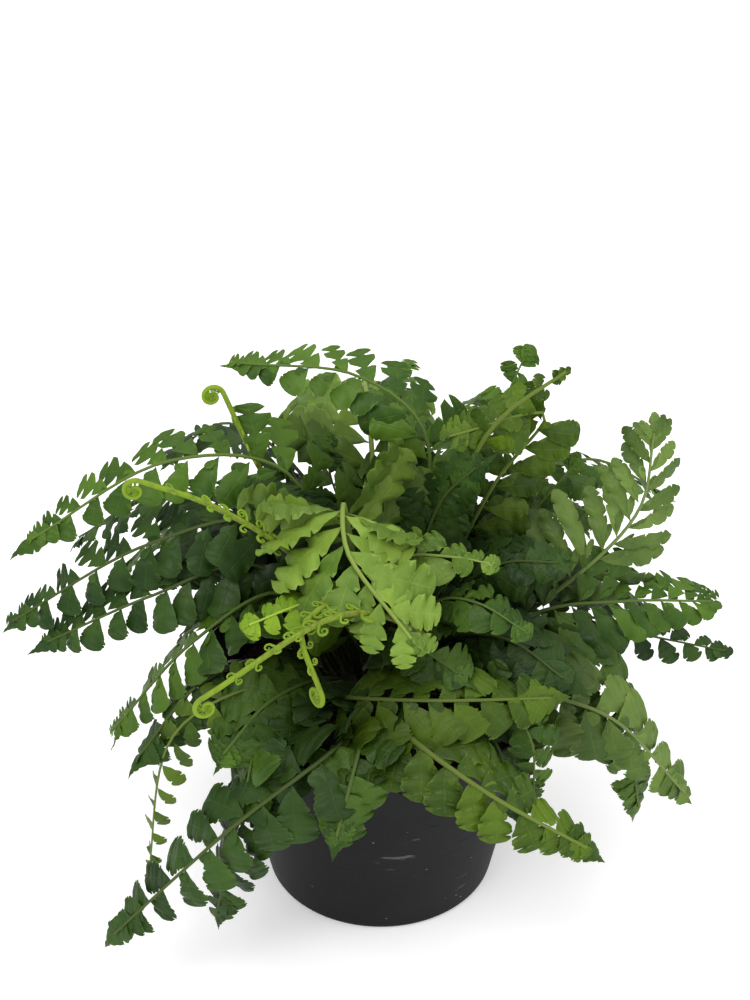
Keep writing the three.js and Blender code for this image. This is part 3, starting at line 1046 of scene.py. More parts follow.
def shape_tree(name: str, inputs: tuple) -> tuple[bpy.types.NodeTree, dict[str, str]]:
    """An empty Geometry Nodes tree that takes a shape and its own inputs, and gives a shape.

    Args:
        name: the tree's name.
        inputs: the name and type of each input after the shape.

    Returns:
        The tree, and the identifier of each input by name.
    """
    tree = bpy.data.node_groups.new(name, "GeometryNodeTree")
    face = tree.interface
    face.new_socket("Geometry", in_out="INPUT", socket_type="NodeSocketGeometry")
    sockets = {}
    for key, kind in inputs:
        sockets[key] = face.new_socket(key, in_out="INPUT", socket_type=kind).identifier
    face.new_socket("Geometry", in_out="OUTPUT", socket_type="NodeSocketGeometry")
    return tree, sockets


class GrowthTree:
    """Geometry Nodes that sweep a stalk along its line and stand leaflets on their points."""

    INPUTS = (
        ("Leaves", "NodeSocketCollection"),
        ("Finish", "NodeSocketMaterial"),
        ("Stalk Sides", "NodeSocketInt"),
    )

    def __init__(self) -> None:
        """Builds the tree once for all the fronds."""
        self.tree, self.sockets = shape_tree("growth", self.INPUTS)
        net = Net(self.tree)
        given = net.add("NodeGroupInput").outputs
        kind = net.add("GeometryNodeSeparateGeometry", {"domain": "POINT"}, {
            "Geometry": given["Geometry"],
            "Selection": self.own(net, "is_leaf", "BOOLEAN"),
        })
        shelf = net.add("GeometryNodeCollectionInfo", None, {
            "Collection": given["Leaves"],
            "Separate Children": True,
            "Reset Children": True,
        })
        turn = net.add("FunctionNodeEulerToRotation", None, {0: self.own(net, "turn", "FLOAT_VECTOR")})
        leaves = net.add("GeometryNodeInstanceOnPoints", None, {
            "Points": kind.outputs["Selection"],
            "Instance": shelf.outputs[0],
            "Pick Instance": True,
            "Instance Index": self.own(net, "pick", "INT"),
            "Rotation": turn.outputs[0],
            "Scale": self.own(net, "spread", "FLOAT_VECTOR"),
        })
        line = net.add("GeometryNodeMeshToCurve", None, {"Mesh": kind.outputs["Inverted"]})
        ring = net.add("GeometryNodeCurvePrimitiveCircle", {"mode": "RADIUS"}, {
            "Resolution": given["Stalk Sides"],
            "Radius": 1.0,
        })
        stalk = net.add("GeometryNodeCurveToMesh", None, {
            "Curve": line.outputs[0],
            "Profile Curve": ring.outputs[0],
            "Scale": self.own(net, "thick", "FLOAT"),
            "Fill Caps": True,
        })
        marked = net.add("GeometryNodeStoreNamedAttribute", {"data_type": "FLOAT", "domain": "POINT"}, {
            "Geometry": stalk.outputs[0],
            "Name": "stalk",
            "Value": 1.0,
        })
        smooth = net.add("GeometryNodeSetShadeSmooth", None, {"Geometry": marked.outputs[0]})
        joined = net.add("GeometryNodeJoinGeometry")
        self.tree.links.new(leaves.outputs[0], joined.inputs[0])
        self.tree.links.new(smooth.outputs[0], joined.inputs[0])
        real = net.add("GeometryNodeRealizeInstances", None, {"Geometry": joined.outputs[0]})
        dressed = net.add("GeometryNodeSetMaterial", None, {
            "Geometry": real.outputs[0],
            "Material": given["Finish"],
        })
        net.add("NodeGroupOutput", None, {"Geometry": dressed.outputs[0]})

    @staticmethod
    def own(net: Net, name: str, kind: str) -> bpy.types.NodeSocket:
        """A named attribute of the points."""
        return net.add("GeometryNodeInputNamedAttribute", {"data_type": kind}, {"Name": name}).outputs[0]


@dataclass
class Leaf:
    """One leaflet's place on its frond."""

    root: Vector
    out: Vector
    normal: Vector
    length: float
    width: float
    pick: int
    shade: float

    def turn(self) -> Vector:
        """Its turn, as an Euler vector.

        Returns:
            The Euler vector.
        """
        across = self.normal.cross(self.out).normalized()
        normal = self.out.cross(across)
        return Vector(Matrix((self.out, across, normal)).transposed().to_euler())


@dataclass
class Growth:
    """The points of one frond: a line for its stalk and a loose point for each leaflet."""

    name: str
    line: list[Vector] = field(default_factory=list)
    thick: list[float] = field(default_factory=list)
    leaves: list[Leaf] = field(default_factory=list)
    heart: Vector = field(default_factory=lambda: Vector((0, 0.005, 0.075)))
    light_reach: float = 0.11
    stalk_sides: int = 9

    SPENT = ("turn", "spread", "pick", "thick", "is_leaf")

    def seed_mesh(self) -> bpy.types.Mesh:
        """The points with all that the tree reads from them.

        Returns:
            The mesh of points.
        """
        count, extra = len(self.line), len(self.leaves)
        points = self.line + [leaf.root for leaf in self.leaves]
        mesh = bpy.data.meshes.new(f"{self.name}_points")
        mesh.from_pydata(points, [(i, i + 1) for i in range(count - 1)], [])
        reach = [i / (count - 1) for i in range(count)]
        self.store(mesh, "is_leaf", "BOOLEAN", [False] * count + [True] * extra)
        self.store(mesh, "thick", "FLOAT", self.thick + [0.0] * extra)
        self.store(mesh, "reach", "FLOAT", reach + [1.0] * extra)
        self.store(mesh, "pick", "INT", [0] * count + [leaf.pick for leaf in self.leaves])
        self.store(mesh, "shade", "FLOAT", [0.5] * count + [leaf.shade for leaf in self.leaves])
        # The depth is how far a point lies from the plant's heart, as a share of the light's reach. The leaf
        # material turns it into painted shade, darker nearer the heart.
        painted_shade_depths = [min(1.0, (point - self.heart).length / self.light_reach) for point in points]
        self.store(mesh, "depth", "FLOAT", painted_shade_depths)
        turns = [Vector()] * count + [leaf.turn() for leaf in self.leaves]
        self.store(mesh, "turn", "FLOAT_VECTOR", turns)
        sizes = [Vector((leaf.length, leaf.width, leaf.length)) for leaf in self.leaves]
        self.store(mesh, "spread", "FLOAT_VECTOR", [Vector()] * count + sizes)
        return mesh

    @staticmethod
    def store(mesh: bpy.types.Mesh, name: str, kind: str, values: list) -> None:
        """Keeps a list on the mesh's points under a name.

        Args:
            mesh: the mesh.
            name: the list's name.
            kind: the type of its values.
            values: one value for each point.
        """
        layer = mesh.attributes.new(name, kind, "POINT")
        for item, value in zip(layer.data, values):
            if kind == "FLOAT_VECTOR":
                item.vector = value
            else:
                item.value = value

    def grow(
        self, tree: GrowthTree, shelf: bpy.types.Collection, finish: bpy.types.Material
    ) -> bpy.types.Object:
        """Runs the tree and keeps its result as a plain mesh.

        Args:
            tree: the growth tree.
            shelf: the leaflets to pick from.
            finish: the frond's material.

        Returns:
            The frond's object.
        """
        seed = placed(f"{self.name}_seed", self.seed_mesh())
        modifier = seed.modifiers.new("growth", "NODES")
        modifier.node_group = tree.tree
        modifier[tree.sockets["Leaves"]] = shelf
        modifier[tree.sockets["Finish"]] = finish
        modifier[tree.sockets["Stalk Sides"]] = self.stalk_sides
        mesh = settled(seed, f"{self.name}_living")
        for layer in [a.name for a in mesh.attributes if a.name in self.SPENT]:
            mesh.attributes.remove(mesh.attributes[layer])
        return placed(f"{self.name}_living", mesh)


def settled(source: bpy.types.Object, name: str) -> bpy.types.Mesh:
    """Takes an object's evaluated shape as a plain mesh and removes the object.

    Args:
        source: the object with its modifiers.
        name: the new mesh's name.

    Returns:
        The plain mesh.
    """
    bpy.context.view_layer.update()
    graph = bpy.context.evaluated_depsgraph_get()
    shape = source.evaluated_get(graph)
    mesh = bpy.data.meshes.new_from_object(shape, preserve_all_data_layers=True, depsgraph=graph)
    mesh.name = name
    old = source.data
    source.modifiers.clear()
    bpy.data.objects.remove(source)
    bpy.data.meshes.remove(old)
    return mesh


def hold(piece: bpy.types.Object, slot: str, *nodes: str) -> None:
    """Puts a piece on the plant's body in place of the frame's nodes.

    Args:
        piece: the piece.
        slot: not used.
        nodes: the frame's nodes that it stands for.
    """
    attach(piece, "root")
    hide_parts(*nodes)
    faces = len(piece.data.polygons)
    log.info("%s: %d faces", piece.name, faces)


# ---- Fronds ----


@dataclass
class Frond:
    """A frond on the route of the frame's own, with a leaflet for each of its leaflets."""

    plan: Plan
    route: Route
    steps: int = 8
    line_points: int = 30
    last_pair: float = 0.95
    tip_share: float = 0.42
    sweeps: tuple = (22, 52)
    tilts: tuple = (-10, 8, -28, 26, -46, 44)
    tolerance: float = 0.06 * MM
    lobed: tuple = (Blade.FAN, Blade.OAK, Blade.FINGER, Blade.PLUME, Blade.OVATE)
    sky_side: tuple = (0, 0.5, 0.8)
    tip_end: float = 0.985
    tip_sweeps: tuple = (52, 66)
    taper: float = 1.3
    stagger: float = 0.4
    twist: float = 0.16
    roll: float = 0.3
    lobe_size: tuple = (0.34, 0.36)
    lobe_lean: tuple = (0.75, 0.65)
    lobe_foot: float = 0.1
    end_overlap: float = 0.55
    stalk_taper: tuple = (1.05, 0.6)

    def corners(self) -> KDTree:
        """The corners of the frame's frond, to be found by place.

        Returns:
            The corners, as a tree.
        """
        vertices = frame["nodes"][self.plan.name].data.vertices
        tree = KDTree(len(vertices))
        for i, vertex in enumerate(vertices):
            tree.insert(vertex.co, i)
        tree.balance()
        return tree

    def side_leaf(
        self, corners: KDTree, s: float, side: int, shelf: Shelf, rng: random.Random
    ) -> list[Leaf]:
        """One leaflet beside the stalk, as the frame's own lies, with the small lobe at its base.

        Args:
            corners: the frame's corners.
            s: the share of the leafy stretch.
            side: 1 or -1.
            shelf: the leaflets to pick from.
            rng: gives the small differences.

        Returns:
            The leaflet and its lobe, or nothing where the frame has no leaflet.
        """
        habit = self.plan.habit.value
        t = habit.bare + (self.last_pair - habit.bare) * s
        along, normal, across = self.route.frame(t, Vector(self.plan.face.value))
        across = across * side
        size = 1 - (1 - self.tip_share) * s**self.taper
        sweep = math.radians(self.sweeps[0] + (self.sweeps[1] - self.sweeps[0]) * s)
        root = self.route.chord(t, self.steps)
        length = habit.length * size * MM
        for tilt in self.tilts:
            lift = math.radians(tilt)
            level = across * math.cos(lift) + normal * math.sin(lift)
            upper = normal * math.cos(lift) - across * math.sin(lift)
            out = level * math.cos(sweep) + along * math.sin(sweep)
            if corners.find(root + out * length)[2] < self.tolerance:
                blade = habit.above if across.dot(Vector(self.sky_side)) > 0 else habit.below
                turn = Matrix.Rotation(rng.uniform(-self.twist, self.twist), 3, upper)
                width = habit.width * (size + 0.25 * s) * MM
                leaf = self.dressed(blade, root, turn @ out, upper, length, width, shelf, rng)
                lobe_out = (out * self.lobe_lean[0] + along * self.lobe_lean[1]).normalized()
                base = root + out * length * self.lobe_foot
                size = (length * self.lobe_size[0], width * self.lobe_size[1])
                lobe = self.dressed(Blade.LOBE, base, lobe_out, upper, *size, shelf, rng)
                return [leaf, lobe] if blade in self.lobed else [leaf]
        return []

    def dressed(
        self,
        blade: Blade,
        root: Vector,
        out: Vector,
        upper: Vector,
        length: float,
        width: float,
        shelf: Shelf,
        rng: random.Random,
    ) -> Leaf:
        """A leaflet in its own kind's proportions.

        Args:
            blade: its kind.
            root: where it joins the stalk.
            out: its direction.
            upper: where its upper face looks.
            length: the frame's length.
            width: the frame's width.
            shelf: the leaflets to pick from.
            rng: gives the small differences.

        Returns:
            The leaflet.
        """
        form = blade.value
        roll = Matrix.Rotation(rng.uniform(-self.roll, self.roll), 3, out)
        grown = rng.uniform(0.88, 1.12)
        size = (length * form.length * grown, width * form.width * grown * rng.uniform(0.9, 1.12))
        return Leaf(root, out, roll @ upper, *size, shelf.pick(blade, rng), rng.random())

    def tip_leaves(self, shelf: Shelf, rng: random.Random) -> list[Leaf]:
        """The small leaflets that crowd together below the frond's tip.

        Args:
            shelf: the leaflets to pick from.
            rng: gives the small differences.

        Returns:
            The leaflets.
        """
        habit = self.plan.habit.value
        first = habit.bare + (self.last_pair - habit.bare) * (habit.pairs - 1 + self.stagger) / habit.pairs
        made = []
        for place in range(habit.tip_leaflets):
            share = (place + 0.7) / habit.tip_leaflets
            t = first + (self.tip_end - first) * share
            along, normal, across = self.route.frame(t, Vector(self.plan.face.value))
            across = across * (1 if place % 2 else -1)
            start, end = self.tip_sweeps
            sweep = math.radians(start + (end - start) * share)
            out = across * math.cos(sweep) + along * math.sin(sweep)
            size = self.tip_share * (1 - 0.42 * share)
            length, width = habit.length * size * MM, habit.width * (size + 0.1) * MM
            blade = habit.above if across.dot(Vector(self.sky_side)) > 0 else habit.below
            made.append(self.dressed(blade, self.route.at(t), out, normal, length, width, shelf, rng))
        return made

    def end_leaf(self, shelf: Shelf, rng: random.Random) -> Leaf:
        """The leaflet that ends the frond.

        Args:
            shelf: the leaflets to pick from.
            rng: gives the small differences.

        Returns:
            The leaflet.
        """
        habit = self.plan.habit.value
        along, normal, _ = self.route.frame(1, Vector(self.plan.face.value))
        length = habit.length * self.tip_share * MM
        width = habit.width * self.tip_share * MM
        root = self.route.at(1) - along * length * habit.end.value.length * self.end_overlap
        return self.dressed(habit.end, root, along, normal, length, width, shelf, rng)

    def build(self, tree: GrowthTree, shelf: Shelf, finishes: dict) -> None:
        """Grows the frond and puts it in place.

        Args:
            tree: the growth tree.
            shelf: the leaflets to pick from.
            finishes: a material for each green.
        """
        rng = random.Random(self.plan.name)
        habit = self.plan.habit.value
        corners = self.corners()
        growth = Growth(self.plan.name)
        for i in range(self.line_points + 1):
            u = i / self.line_points
            growth.line.append(self.route.along(u))
            growth.thick.append(habit.stem * (self.stalk_taper[0] - self.stalk_taper[1] * u) * MM)
        for pair in range(habit.pairs):
            for side in (-1, 1):
                s = (pair + (0 if side < 0 else self.stagger)) / habit.pairs
                growth.leaves += self.side_leaf(corners, s, side, shelf, rng)
        growth.leaves += self.tip_leaves(shelf, rng)
        growth.leaves.append(self.end_leaf(shelf, rng))
        piece = growth.grow(tree, shelf.collection, finishes[self.plan.green])
        hold(piece, self.plan.green.value.slot, self.plan.name)
        log.info("  %d leaflets for %d places", len(growth.leaves), habit.pairs * 2 + 1)


@dataclass
class Crozier:
    """A young frond that is still coiled, with smaller coils along its stem."""

    name: str
    route: Route
    stem: float = 1.1
    coil_radius: float = 3.8
    turns: float = 1.55
    pitch: float = 2.3
    stem_points: int = 24
    coil_points: int = 40
    buds: int = 7
    bud_stretch: tuple = (0.62, 0.34)
    bud_size: tuple = (4.6, 6.0)
    coil_scale: tuple = (2.1, 1.0)
    stem_scale: tuple = (2.2, 0.6)
    stem_scales: int = 26

    def coil(self) -> list[Vector]:
        """The coil's line, from the stem's end inwards.

        Returns:
            The points, in metres.
        """
        end = self.route.at(1)
        along, normal, _ = self.route.frame(1, Vector(Face.UP.value))
        line = []
        for i in range(1, self.coil_points + 1):
            turn = self.turns * i / self.coil_points
            angle = 2 * math.pi * turn
            radius = self.coil_radius - self.pitch * turn
            forth = radius * math.sin(angle)
            back = radius * math.cos(angle) - self.coil_radius
            line.append(end + (along * forth + normal * back) * MM)
        return line

    def build(self, tree: GrowthTree, shelf: Shelf, finish: bpy.types.Material) -> None:
        """Grows the crozier and puts it in place.

        Args:
            tree: the growth tree.
            shelf: scales and small coils.
            finish: the young green.
        """
        rng = random.Random(self.name)
        face = Vector(Face.UP.value)
        growth = Growth(self.name)
        for i in range(self.stem_points + 1):
            u = i / self.stem_points
            growth.line.append(self.route.along(u))
            growth.thick.append(self.stem * (1.08 - 0.3 * u) * MM)
        coil = self.coil()
        for i, point in enumerate(coil):
            growth.line.append(point)
            growth.thick.append(self.stem * (0.78 - 0.5 * (i + 1) / len(coil)) * MM)
        centre = sum(coil[-8:], Vector()) / 8
        _, _, across = self.route.frame(1, face)
        for i, point in enumerate(coil[::2]):
            inward = (centre - point).normalized()
            for side in (-1, 1):
                out = (inward * 0.75 + across * side * 0.5).normalized()
                size = (self.coil_scale[0] * MM, self.coil_scale[1] * MM)
                pick = shelf.pick(Blade.SCALE, rng)
                growth.leaves.append(Leaf(point, out, across * side, *size, pick, rng.random()))
        for bud in range(self.buds):
            u = self.bud_stretch[0] + self.bud_stretch[1] * bud / self.buds
            along, normal, side_way = self.route.frame(u, face)
            for side in (-1, 1):
                out = (side_way * side + along * 0.6 + normal * rng.uniform(-0.2, 0.4)).normalized()
                size = rng.uniform(*self.bud_size) * (1.1 - 0.5 * bud / self.buds) * MM
                pick = shelf.pick_coil(rng)
                growth.leaves.append(Leaf(self.route.along(u), out, normal, size, size, pick, rng.random()))
        for _ in range(self.stem_scales):
            u = rng.uniform(0.04, 0.6)
            along, normal, side_way = self.route.frame(u, face)
            spin = rng.uniform(0, 2 * math.pi)
            off = normal * math.cos(spin) + side_way * math.sin(spin)
            root = self.route.along(u) + off * self.stem * MM * 0.8
            out = (off * 0.5 + along).normalized()
            size = (self.stem_scale[0] * MM, self.stem_scale[1] * MM)
            growth.leaves.append(Leaf(root, out, off, *size, shelf.pick(Blade.SCALE, rng), rng.random()))
        piece = growth.grow(tree, shelf.collection, finish)
        hold(piece, "crozier", self.name)


COIL_STRAIGHT = 0.3
COIL_REACH = 0.6
COIL_ROUND = 0.3
COIL_THICK = 0.11


def small_coil(name: str, turns: float, sides: int = 5, steps: int = 16) -> bpy.types.Mesh:
    """A little coiled bud about one unit long, for the sides of a crozier.

    Args:
        name: the mesh's name.
        turns: how far it is coiled.
        sides: the sides of its round.
        steps: the rings along it.

    Returns:
        The closed mesh.
    """
    bm = bmesh.new()
    rings = []
    for i in range(steps + 1):
        share = i / steps
        past = max(share - COIL_STRAIGHT, 0)
        angle = 2 * math.pi * turns * past / (1 - COIL_STRAIGHT)
        radius = COIL_ROUND * (1 - 0.75 * past / (1 - COIL_STRAIGHT))
        if past == 0:
            centre = Vector((share / COIL_STRAIGHT * COIL_REACH, 0, 0))
        else:
            centre = Vector((COIL_REACH + radius * math.sin(angle), COIL_ROUND - radius * math.cos(angle), 0))
        ahead = Vector((math.cos(angle), math.sin(angle), 0))
        off = Vector((-ahead.y, ahead.x, 0))
        thick = COIL_THICK * (1.0 - 0.55 * share)
        ring = []
        for k in range(sides):
            a = 2 * math.pi * k / sides
            ring.append(bm.verts.new(centre + (off * math.cos(a) + Vector((0, 0, 1)) * math.sin(a)) * thick))
        rings.append(ring)
    for a, b in zip(rings, rings[1:]):
        for k in range(sides):
            bm.faces.new((a[k], a[(k + 1) % sides], b[(k + 1) % sides], b[k])).smooth = True
    bm.faces.new(rings[0][::-1])
    bm.faces.new(rings[-1])
    bmesh.ops.recalc_face_normals(bm, faces=bm.faces)
    return made_mesh(bm, name)


# ---- Pot, soil and crown ----


def turned(name: str, profile: list[tuple[float, float]], sides: int, smooth: bool = True) -> bpy.types.Mesh:
    """A body turned on the pot's axis.

    Args:
        name: the mesh's name.
        profile: radius and height in millimetres, going round the section, with its ends on the axis.
        sides: how many sides the round has.
        smooth: whether its faces shade smoothly.

    Returns:
        The closed mesh, in metres.
    """
    bm = bmesh.new()
    rings = []
    for radius, height in profile:
        if radius < 1e-6:
            rings.append([bm.verts.new((0, 0, height * MM))] * sides)
            continue
        angles = (2 * math.pi * i / sides for i in range(sides))
        ring = ((radius * math.cos(a) * MM, radius * math.sin(a) * MM, height * MM) for a in angles)
        rings.append([bm.verts.new(place) for place in ring])
    for lower, upper in zip(rings, rings[1:]):
        for i in range(sides):
            j = (i + 1) % sides
            corners = list(dict.fromkeys((lower[i], lower[j], upper[j], upper[i])))
            if len(corners) > 2:
                bm.faces.new(corners).smooth = smooth
    bmesh.ops.recalc_face_normals(bm, faces=bm.faces)
    return made_mesh(bm, name)


@dataclass
class Pot:
    """A thin-walled pot with an upright collar over a step, a rounded lip and drain holes. Millimetres."""

    height: float = 88
    rim: float = 65
    collar: float = 7.5
    flare: float = 1
    step: float = 6
    base: float = 42
    base_round: float = 3
    wall: float = 1.5
    floor: float = 2
    lip: float = 0.7
    corner: float = 1.2
    holes: int = 6
    hole_radius: float = 4
    hole_ring: float = 28
    drill_length: float = 8
    drill_sides: int = 32
    sides: int = 144
    sharp: float = 38

    @staticmethod
    def arc(centre: tuple, radius: float, start: float, end: float, steps: int) -> list[tuple[float, float]]:
        """Points of a rounded corner, between two angles in degrees."""
        angles = [math.radians(start + (end - start) * i / steps) for i in range(steps + 1)]
        return [(centre[0] + radius * math.cos(a), centre[1] + radius * math.sin(a)) for a in angles]

    def profile(self) -> list[tuple[float, float]]:
        """The section from the middle of the underside, up the outside and down the inside.

        Returns:
            Radius and height of each point, in millimetres.
        """
        under = self.height - self.collar
        top = self.rim - self.flare - self.step
        ledge = under + self.wall
        lip, c = self.lip, self.corner
        foot = self.arc((self.base - self.base_round, self.base_round), self.base_round, -90, -8, 7)
        low = self.arc((self.rim - self.flare - c, under + c), c, -90, 0, 6)
        outer = self.arc((self.rim - lip, self.height - lip), lip, 0, 90, 5)
        inner = self.arc((self.rim - self.wall + 0.5, self.height - 0.5), 0.5, 90, 180, 4)
        inside = self.base + (top - self.base) * self.floor / under - self.wall
        return [
            (0, 0.6),
            (self.base - 8, 0.6),
            (self.base - 7.4, 0),
            *foot,
            (top - 0.5, under - 1.2),
            (top, under),
            (self.rim - self.flare - c - 0.2, under),
            *low,
            *outer,
            *inner,
            (self.rim - self.flare - self.wall, ledge + 0.6),
            (self.rim - self.flare - self.wall - 0.6, ledge),
            (top - self.wall, ledge),
            (inside, self.floor),
            (0, self.floor),
        ]

    def build(self, finish: bpy.types.Material) -> None:
        """Turns the pot, drills it and puts it in place.

        Args:
            finish: the pot's material.
        """
        body = placed("pot_blank", turned("pot_blank", self.profile(), self.sides))
        bm = bmesh.new()
        for hole in range(self.holes):
            a = 2 * math.pi * (hole + 0.5) / self.holes
            place = Vector((self.hole_ring * math.cos(a), self.hole_ring * math.sin(a), 1)) * MM
            size = self.hole_radius * MM
            matrix = Matrix.Translation(place)
            sizes = {"radius1": size, "radius2": size, "depth": self.drill_length * MM}
            bmesh.ops.create_cone(bm, cap_ends=True, segments=self.drill_sides, matrix=matrix, **sizes)
        drill = placed("drill", made_mesh(bm, "drill"))
        cut = body.modifiers.new("drain_holes", "BOOLEAN")
        cut.object = drill
        cut.solver = "EXACT"
        shell = settled(body, "pot_moulded")
        bpy.data.objects.remove(drill)
        shell.materials.clear()
        shell.materials.append(finish)
        shell.set_sharp_from_angle(angle=math.radians(self.sharp))
        hold(placed("pot_moulded", shell), "pot_plastic", "pot")


class ScatterTree:
    """Geometry Nodes that strew small things over a body's upper faces."""

    INPUTS = (
        ("Things", "NodeSocketCollection"),
        ("Finish", "NodeSocketMaterial"),
        ("Density", "NodeSocketFloat"),
        ("Smallest", "NodeSocketFloat"),
        ("Largest", "NodeSocketFloat"),
        ("Flatness", "NodeSocketFloat"),
    )
    SEED = 5

    def __init__(self) -> None:
        """Builds the tree."""
        self.tree, self.sockets = shape_tree("scatter", self.INPUTS)
        net = Net(self.tree)
        given = net.add("NodeGroupInput").outputs
        points = net.add("GeometryNodeDistributePointsOnFaces", None, {
            "Mesh": given["Geometry"],
            "Selection": GrowthTree.own(net, "upper", "BOOLEAN"),
            "Density": given["Density"],
            "Seed": self.SEED,
        })
        shelf = net.add("GeometryNodeCollectionInfo", None, {
            "Collection": given["Things"],
            "Separate Children": True,
            "Reset Children": True,
        })
        half_turn = 3.1
        ends = {0: (-half_turn,) * 3, 1: (half_turn,) * 3}
        turn = self.chance(net, "FLOAT_VECTOR", ends | {"Seed": self.SEED + 1})
        slight = net.add("ShaderNodeVectorMath", {"operation": "MULTIPLY"}, {0: turn, 1: (0.12, 0.12, 1.0)})
        size = self.chance(net, "FLOAT", {2: given["Smallest"], 3: given["Largest"], "Seed": self.SEED + 2})
        squat = net.add("ShaderNodeMath", {"operation": "MULTIPLY"}, {0: size, 1: given["Flatness"]})
        scale = net.add("ShaderNodeCombineXYZ", None, {0: size, 1: size, 2: squat.outputs[0]})
        euler = net.add("FunctionNodeEulerToRotation", None, {0: slight.outputs[0]})
        pick = self.chance(net, "INT", {4: 0, 5: 50, "Seed": self.SEED + 3})
        strewn = net.add("GeometryNodeInstanceOnPoints", None, {
            "Points": points.outputs["Points"],
            "Instance": shelf.outputs[0],
            "Pick Instance": True,
            "Instance Index": pick,
            "Rotation": euler.outputs[0],
            "Scale": scale.outputs[0],
        })
        shade = net.add("GeometryNodeStoreNamedAttribute", {"data_type": "FLOAT", "domain": "INSTANCE"}, {
            "Geometry": strewn.outputs[0],
            "Name": "shade",
            "Value": self.chance(net, "FLOAT", {2: 0.0, 3: 1.0, "Seed": self.SEED + 4}),
        })
        joined = net.add("GeometryNodeJoinGeometry")
        self.tree.links.new(shade.outputs[0], joined.inputs[0])
        self.tree.links.new(given["Geometry"], joined.inputs[0])
        real = net.add("GeometryNodeRealizeInstances", None, {"Geometry": joined.outputs[0]})
        dressed = net.add("GeometryNodeSetMaterial", None, {
            "Geometry": real.outputs[0],
            "Material": given["Finish"],
        })
        net.add("NodeGroupOutput", None, {"Geometry": dressed.outputs[0]})

    @staticmethod
    def chance(net: Net, kind: str, sockets: dict) -> bpy.types.NodeSocket:
        """A random value of a kind, from its seeded sockets."""
        node = net.add("FunctionNodeRandomValue", {"data_type": kind}, sockets)
        return next(socket for socket in node.outputs if socket.enabled)

    def strew(self, body: bpy.types.Object, name: str, **values: Any) -> bpy.types.Object:
        """Strews things over a body.

        Args:
            body: the body, which is used up.
            name: the finished piece's name.
            values: the tree's inputs by name, with _ for each space.

        Returns:
            The finished piece.
        """
        modifier = body.modifiers.new("scatter", "NODES")
        modifier.node_group = self.tree
        for key, value in values.items():
            modifier[self.sockets[key.replace("_", " ")]] = value
        return placed(name, settled(body, name))


CRUMB_SEED = 11
ROUND_CRUMBS = 4
CHIP_LENGTH = 2.2


def crumbs(kinds: int = 6) -> bpy.types.Collection:
    """A shelf of uneven crumbs and chips, each about one unit across.

    Args:
        kinds: how many shapes there are.

    Returns:
        The shelf, as a collection.
    """
    shelf = bpy.data.collections.new("crumbs")
    rng = random.Random(CRUMB_SEED)
    for kind in range(kinds):
        bm = bmesh.new()
        bmesh.ops.create_icosphere(bm, subdivisions=1, radius=0.5)
        long = 1.0 if kind < ROUND_CRUMBS else CHIP_LENGTH
        for vertex in bm.verts:
            vertex.co = vertex.co * rng.uniform(0.7, 1.15)
            vertex.co.x *= long
        name = f"crumb_{kind}"
        shelf.objects.link(bpy.data.objects.new(name, made_mesh(bm, name)))
    return shelf


@dataclass
class Bed:
    """The potting mix and the crown on it. Millimetres."""

    soil_top: float = 77
    mound: float = 1.5
    soil_edge: float = 56.1
    soil_foot: float = 40.5
    soil_bottom: float = 2.3
    crown_radius: float = 22
    crown_height: float = 8
    gap: float = 0.3
    steps: int = 12
    dome_shares: tuple = (0.98, 0.93, 0.85, 0.74, 0.6, 0.45, 0.3, 0.15, 0)

    def build(self, tree: ScatterTree, soil_look: bpy.types.Material, crown_look: bpy.types.Material) -> None:
        """Heaps the soil and the crown and puts them in place.

        Args:
            tree: the scatter tree.
            soil_look: the soil's material.
            crown_look: the crown's material.
        """
        edge_height = self.soil_top - self.mound
        width = self.soil_edge - self.crown_radius
        rings = [self.crown_radius + width * i / self.steps for i in range(self.steps, -1, -1)]
        rise = [self.soil_top - self.mound * (r - self.crown_radius) / width for r in rings]
        profile = [(0, self.soil_bottom), (self.soil_foot, self.soil_bottom), (self.soil_edge, edge_height)]
        profile += [*zip(rings[1:], rise[1:]), (self.crown_radius / 2, self.soil_top), (0, self.soil_top)]
        self.heap("soil", profile, 96, 0.9, tree, crumbs(), soil_look, "potting_mix", 60000, (1.1, 3.4), 0.6)
        bottom = self.soil_top + self.gap
        dome = [(0, bottom)]
        for share in self.dome_shares:
            dome.append((share * self.crown_radius, bottom + self.crown_height * math.sqrt(1 - share**2)))
        scales = BladeMaker(Blade.SCALE, 4, thickness=0.03).collection()
        self.heap("crown", dome, 40, 0.5, tree, scales, crown_look, "rhizome", 90000, (3.0, 6.0), 2.5)

    def heap(
        self,
        node: str,
        profile: list,
        sides: int,
        rough: float,
        tree: ScatterTree,
        shelf: bpy.types.Collection,
        finish: bpy.types.Material,
        slot: str,
        density: float,
        sizes: tuple,
        flatness: float,
    ) -> None:
        """One heap: a turned body, made uneven on top, with things strewn over it.

        Args:
            node: the frame's node that it stands for.
            profile: its section.
            sides: the sides of its round.
            rough: how uneven its top is.
            tree: the scatter tree.
            shelf: what is strewn.
            finish: its material.
            slot: its slot.
            density: how many things there are to a square metre.
            sizes: the smallest and largest of them.
            flatness: their height against their width.
        """
        mesh = turned(f"{node}_body", profile, sides)
        top = max(v.co.z for v in mesh.vertices)
        for vertex in mesh.vertices:
            if vertex.co.z > top * 0.9:
                vertex.co.z += rough * MM * (noise.noise(vertex.co * 140) - 0.6)
        upper = mesh.attributes.new("upper", "BOOLEAN", "FACE")
        for face, mark in zip(mesh.polygons, upper.data):
            mark.value = face.normal.z > 0.3
        body = placed(f"{node}_body", mesh)
        sockets = {"Things": shelf, "Finish": finish, "Density": density, "Flatness": flatness}
        sockets |= {"Smallest": sizes[0] * MM, "Largest": sizes[1] * MM}
        hold(tree.strew(body, f"{node}_heap", **sockets), slot, node)


# ---- Studio ----


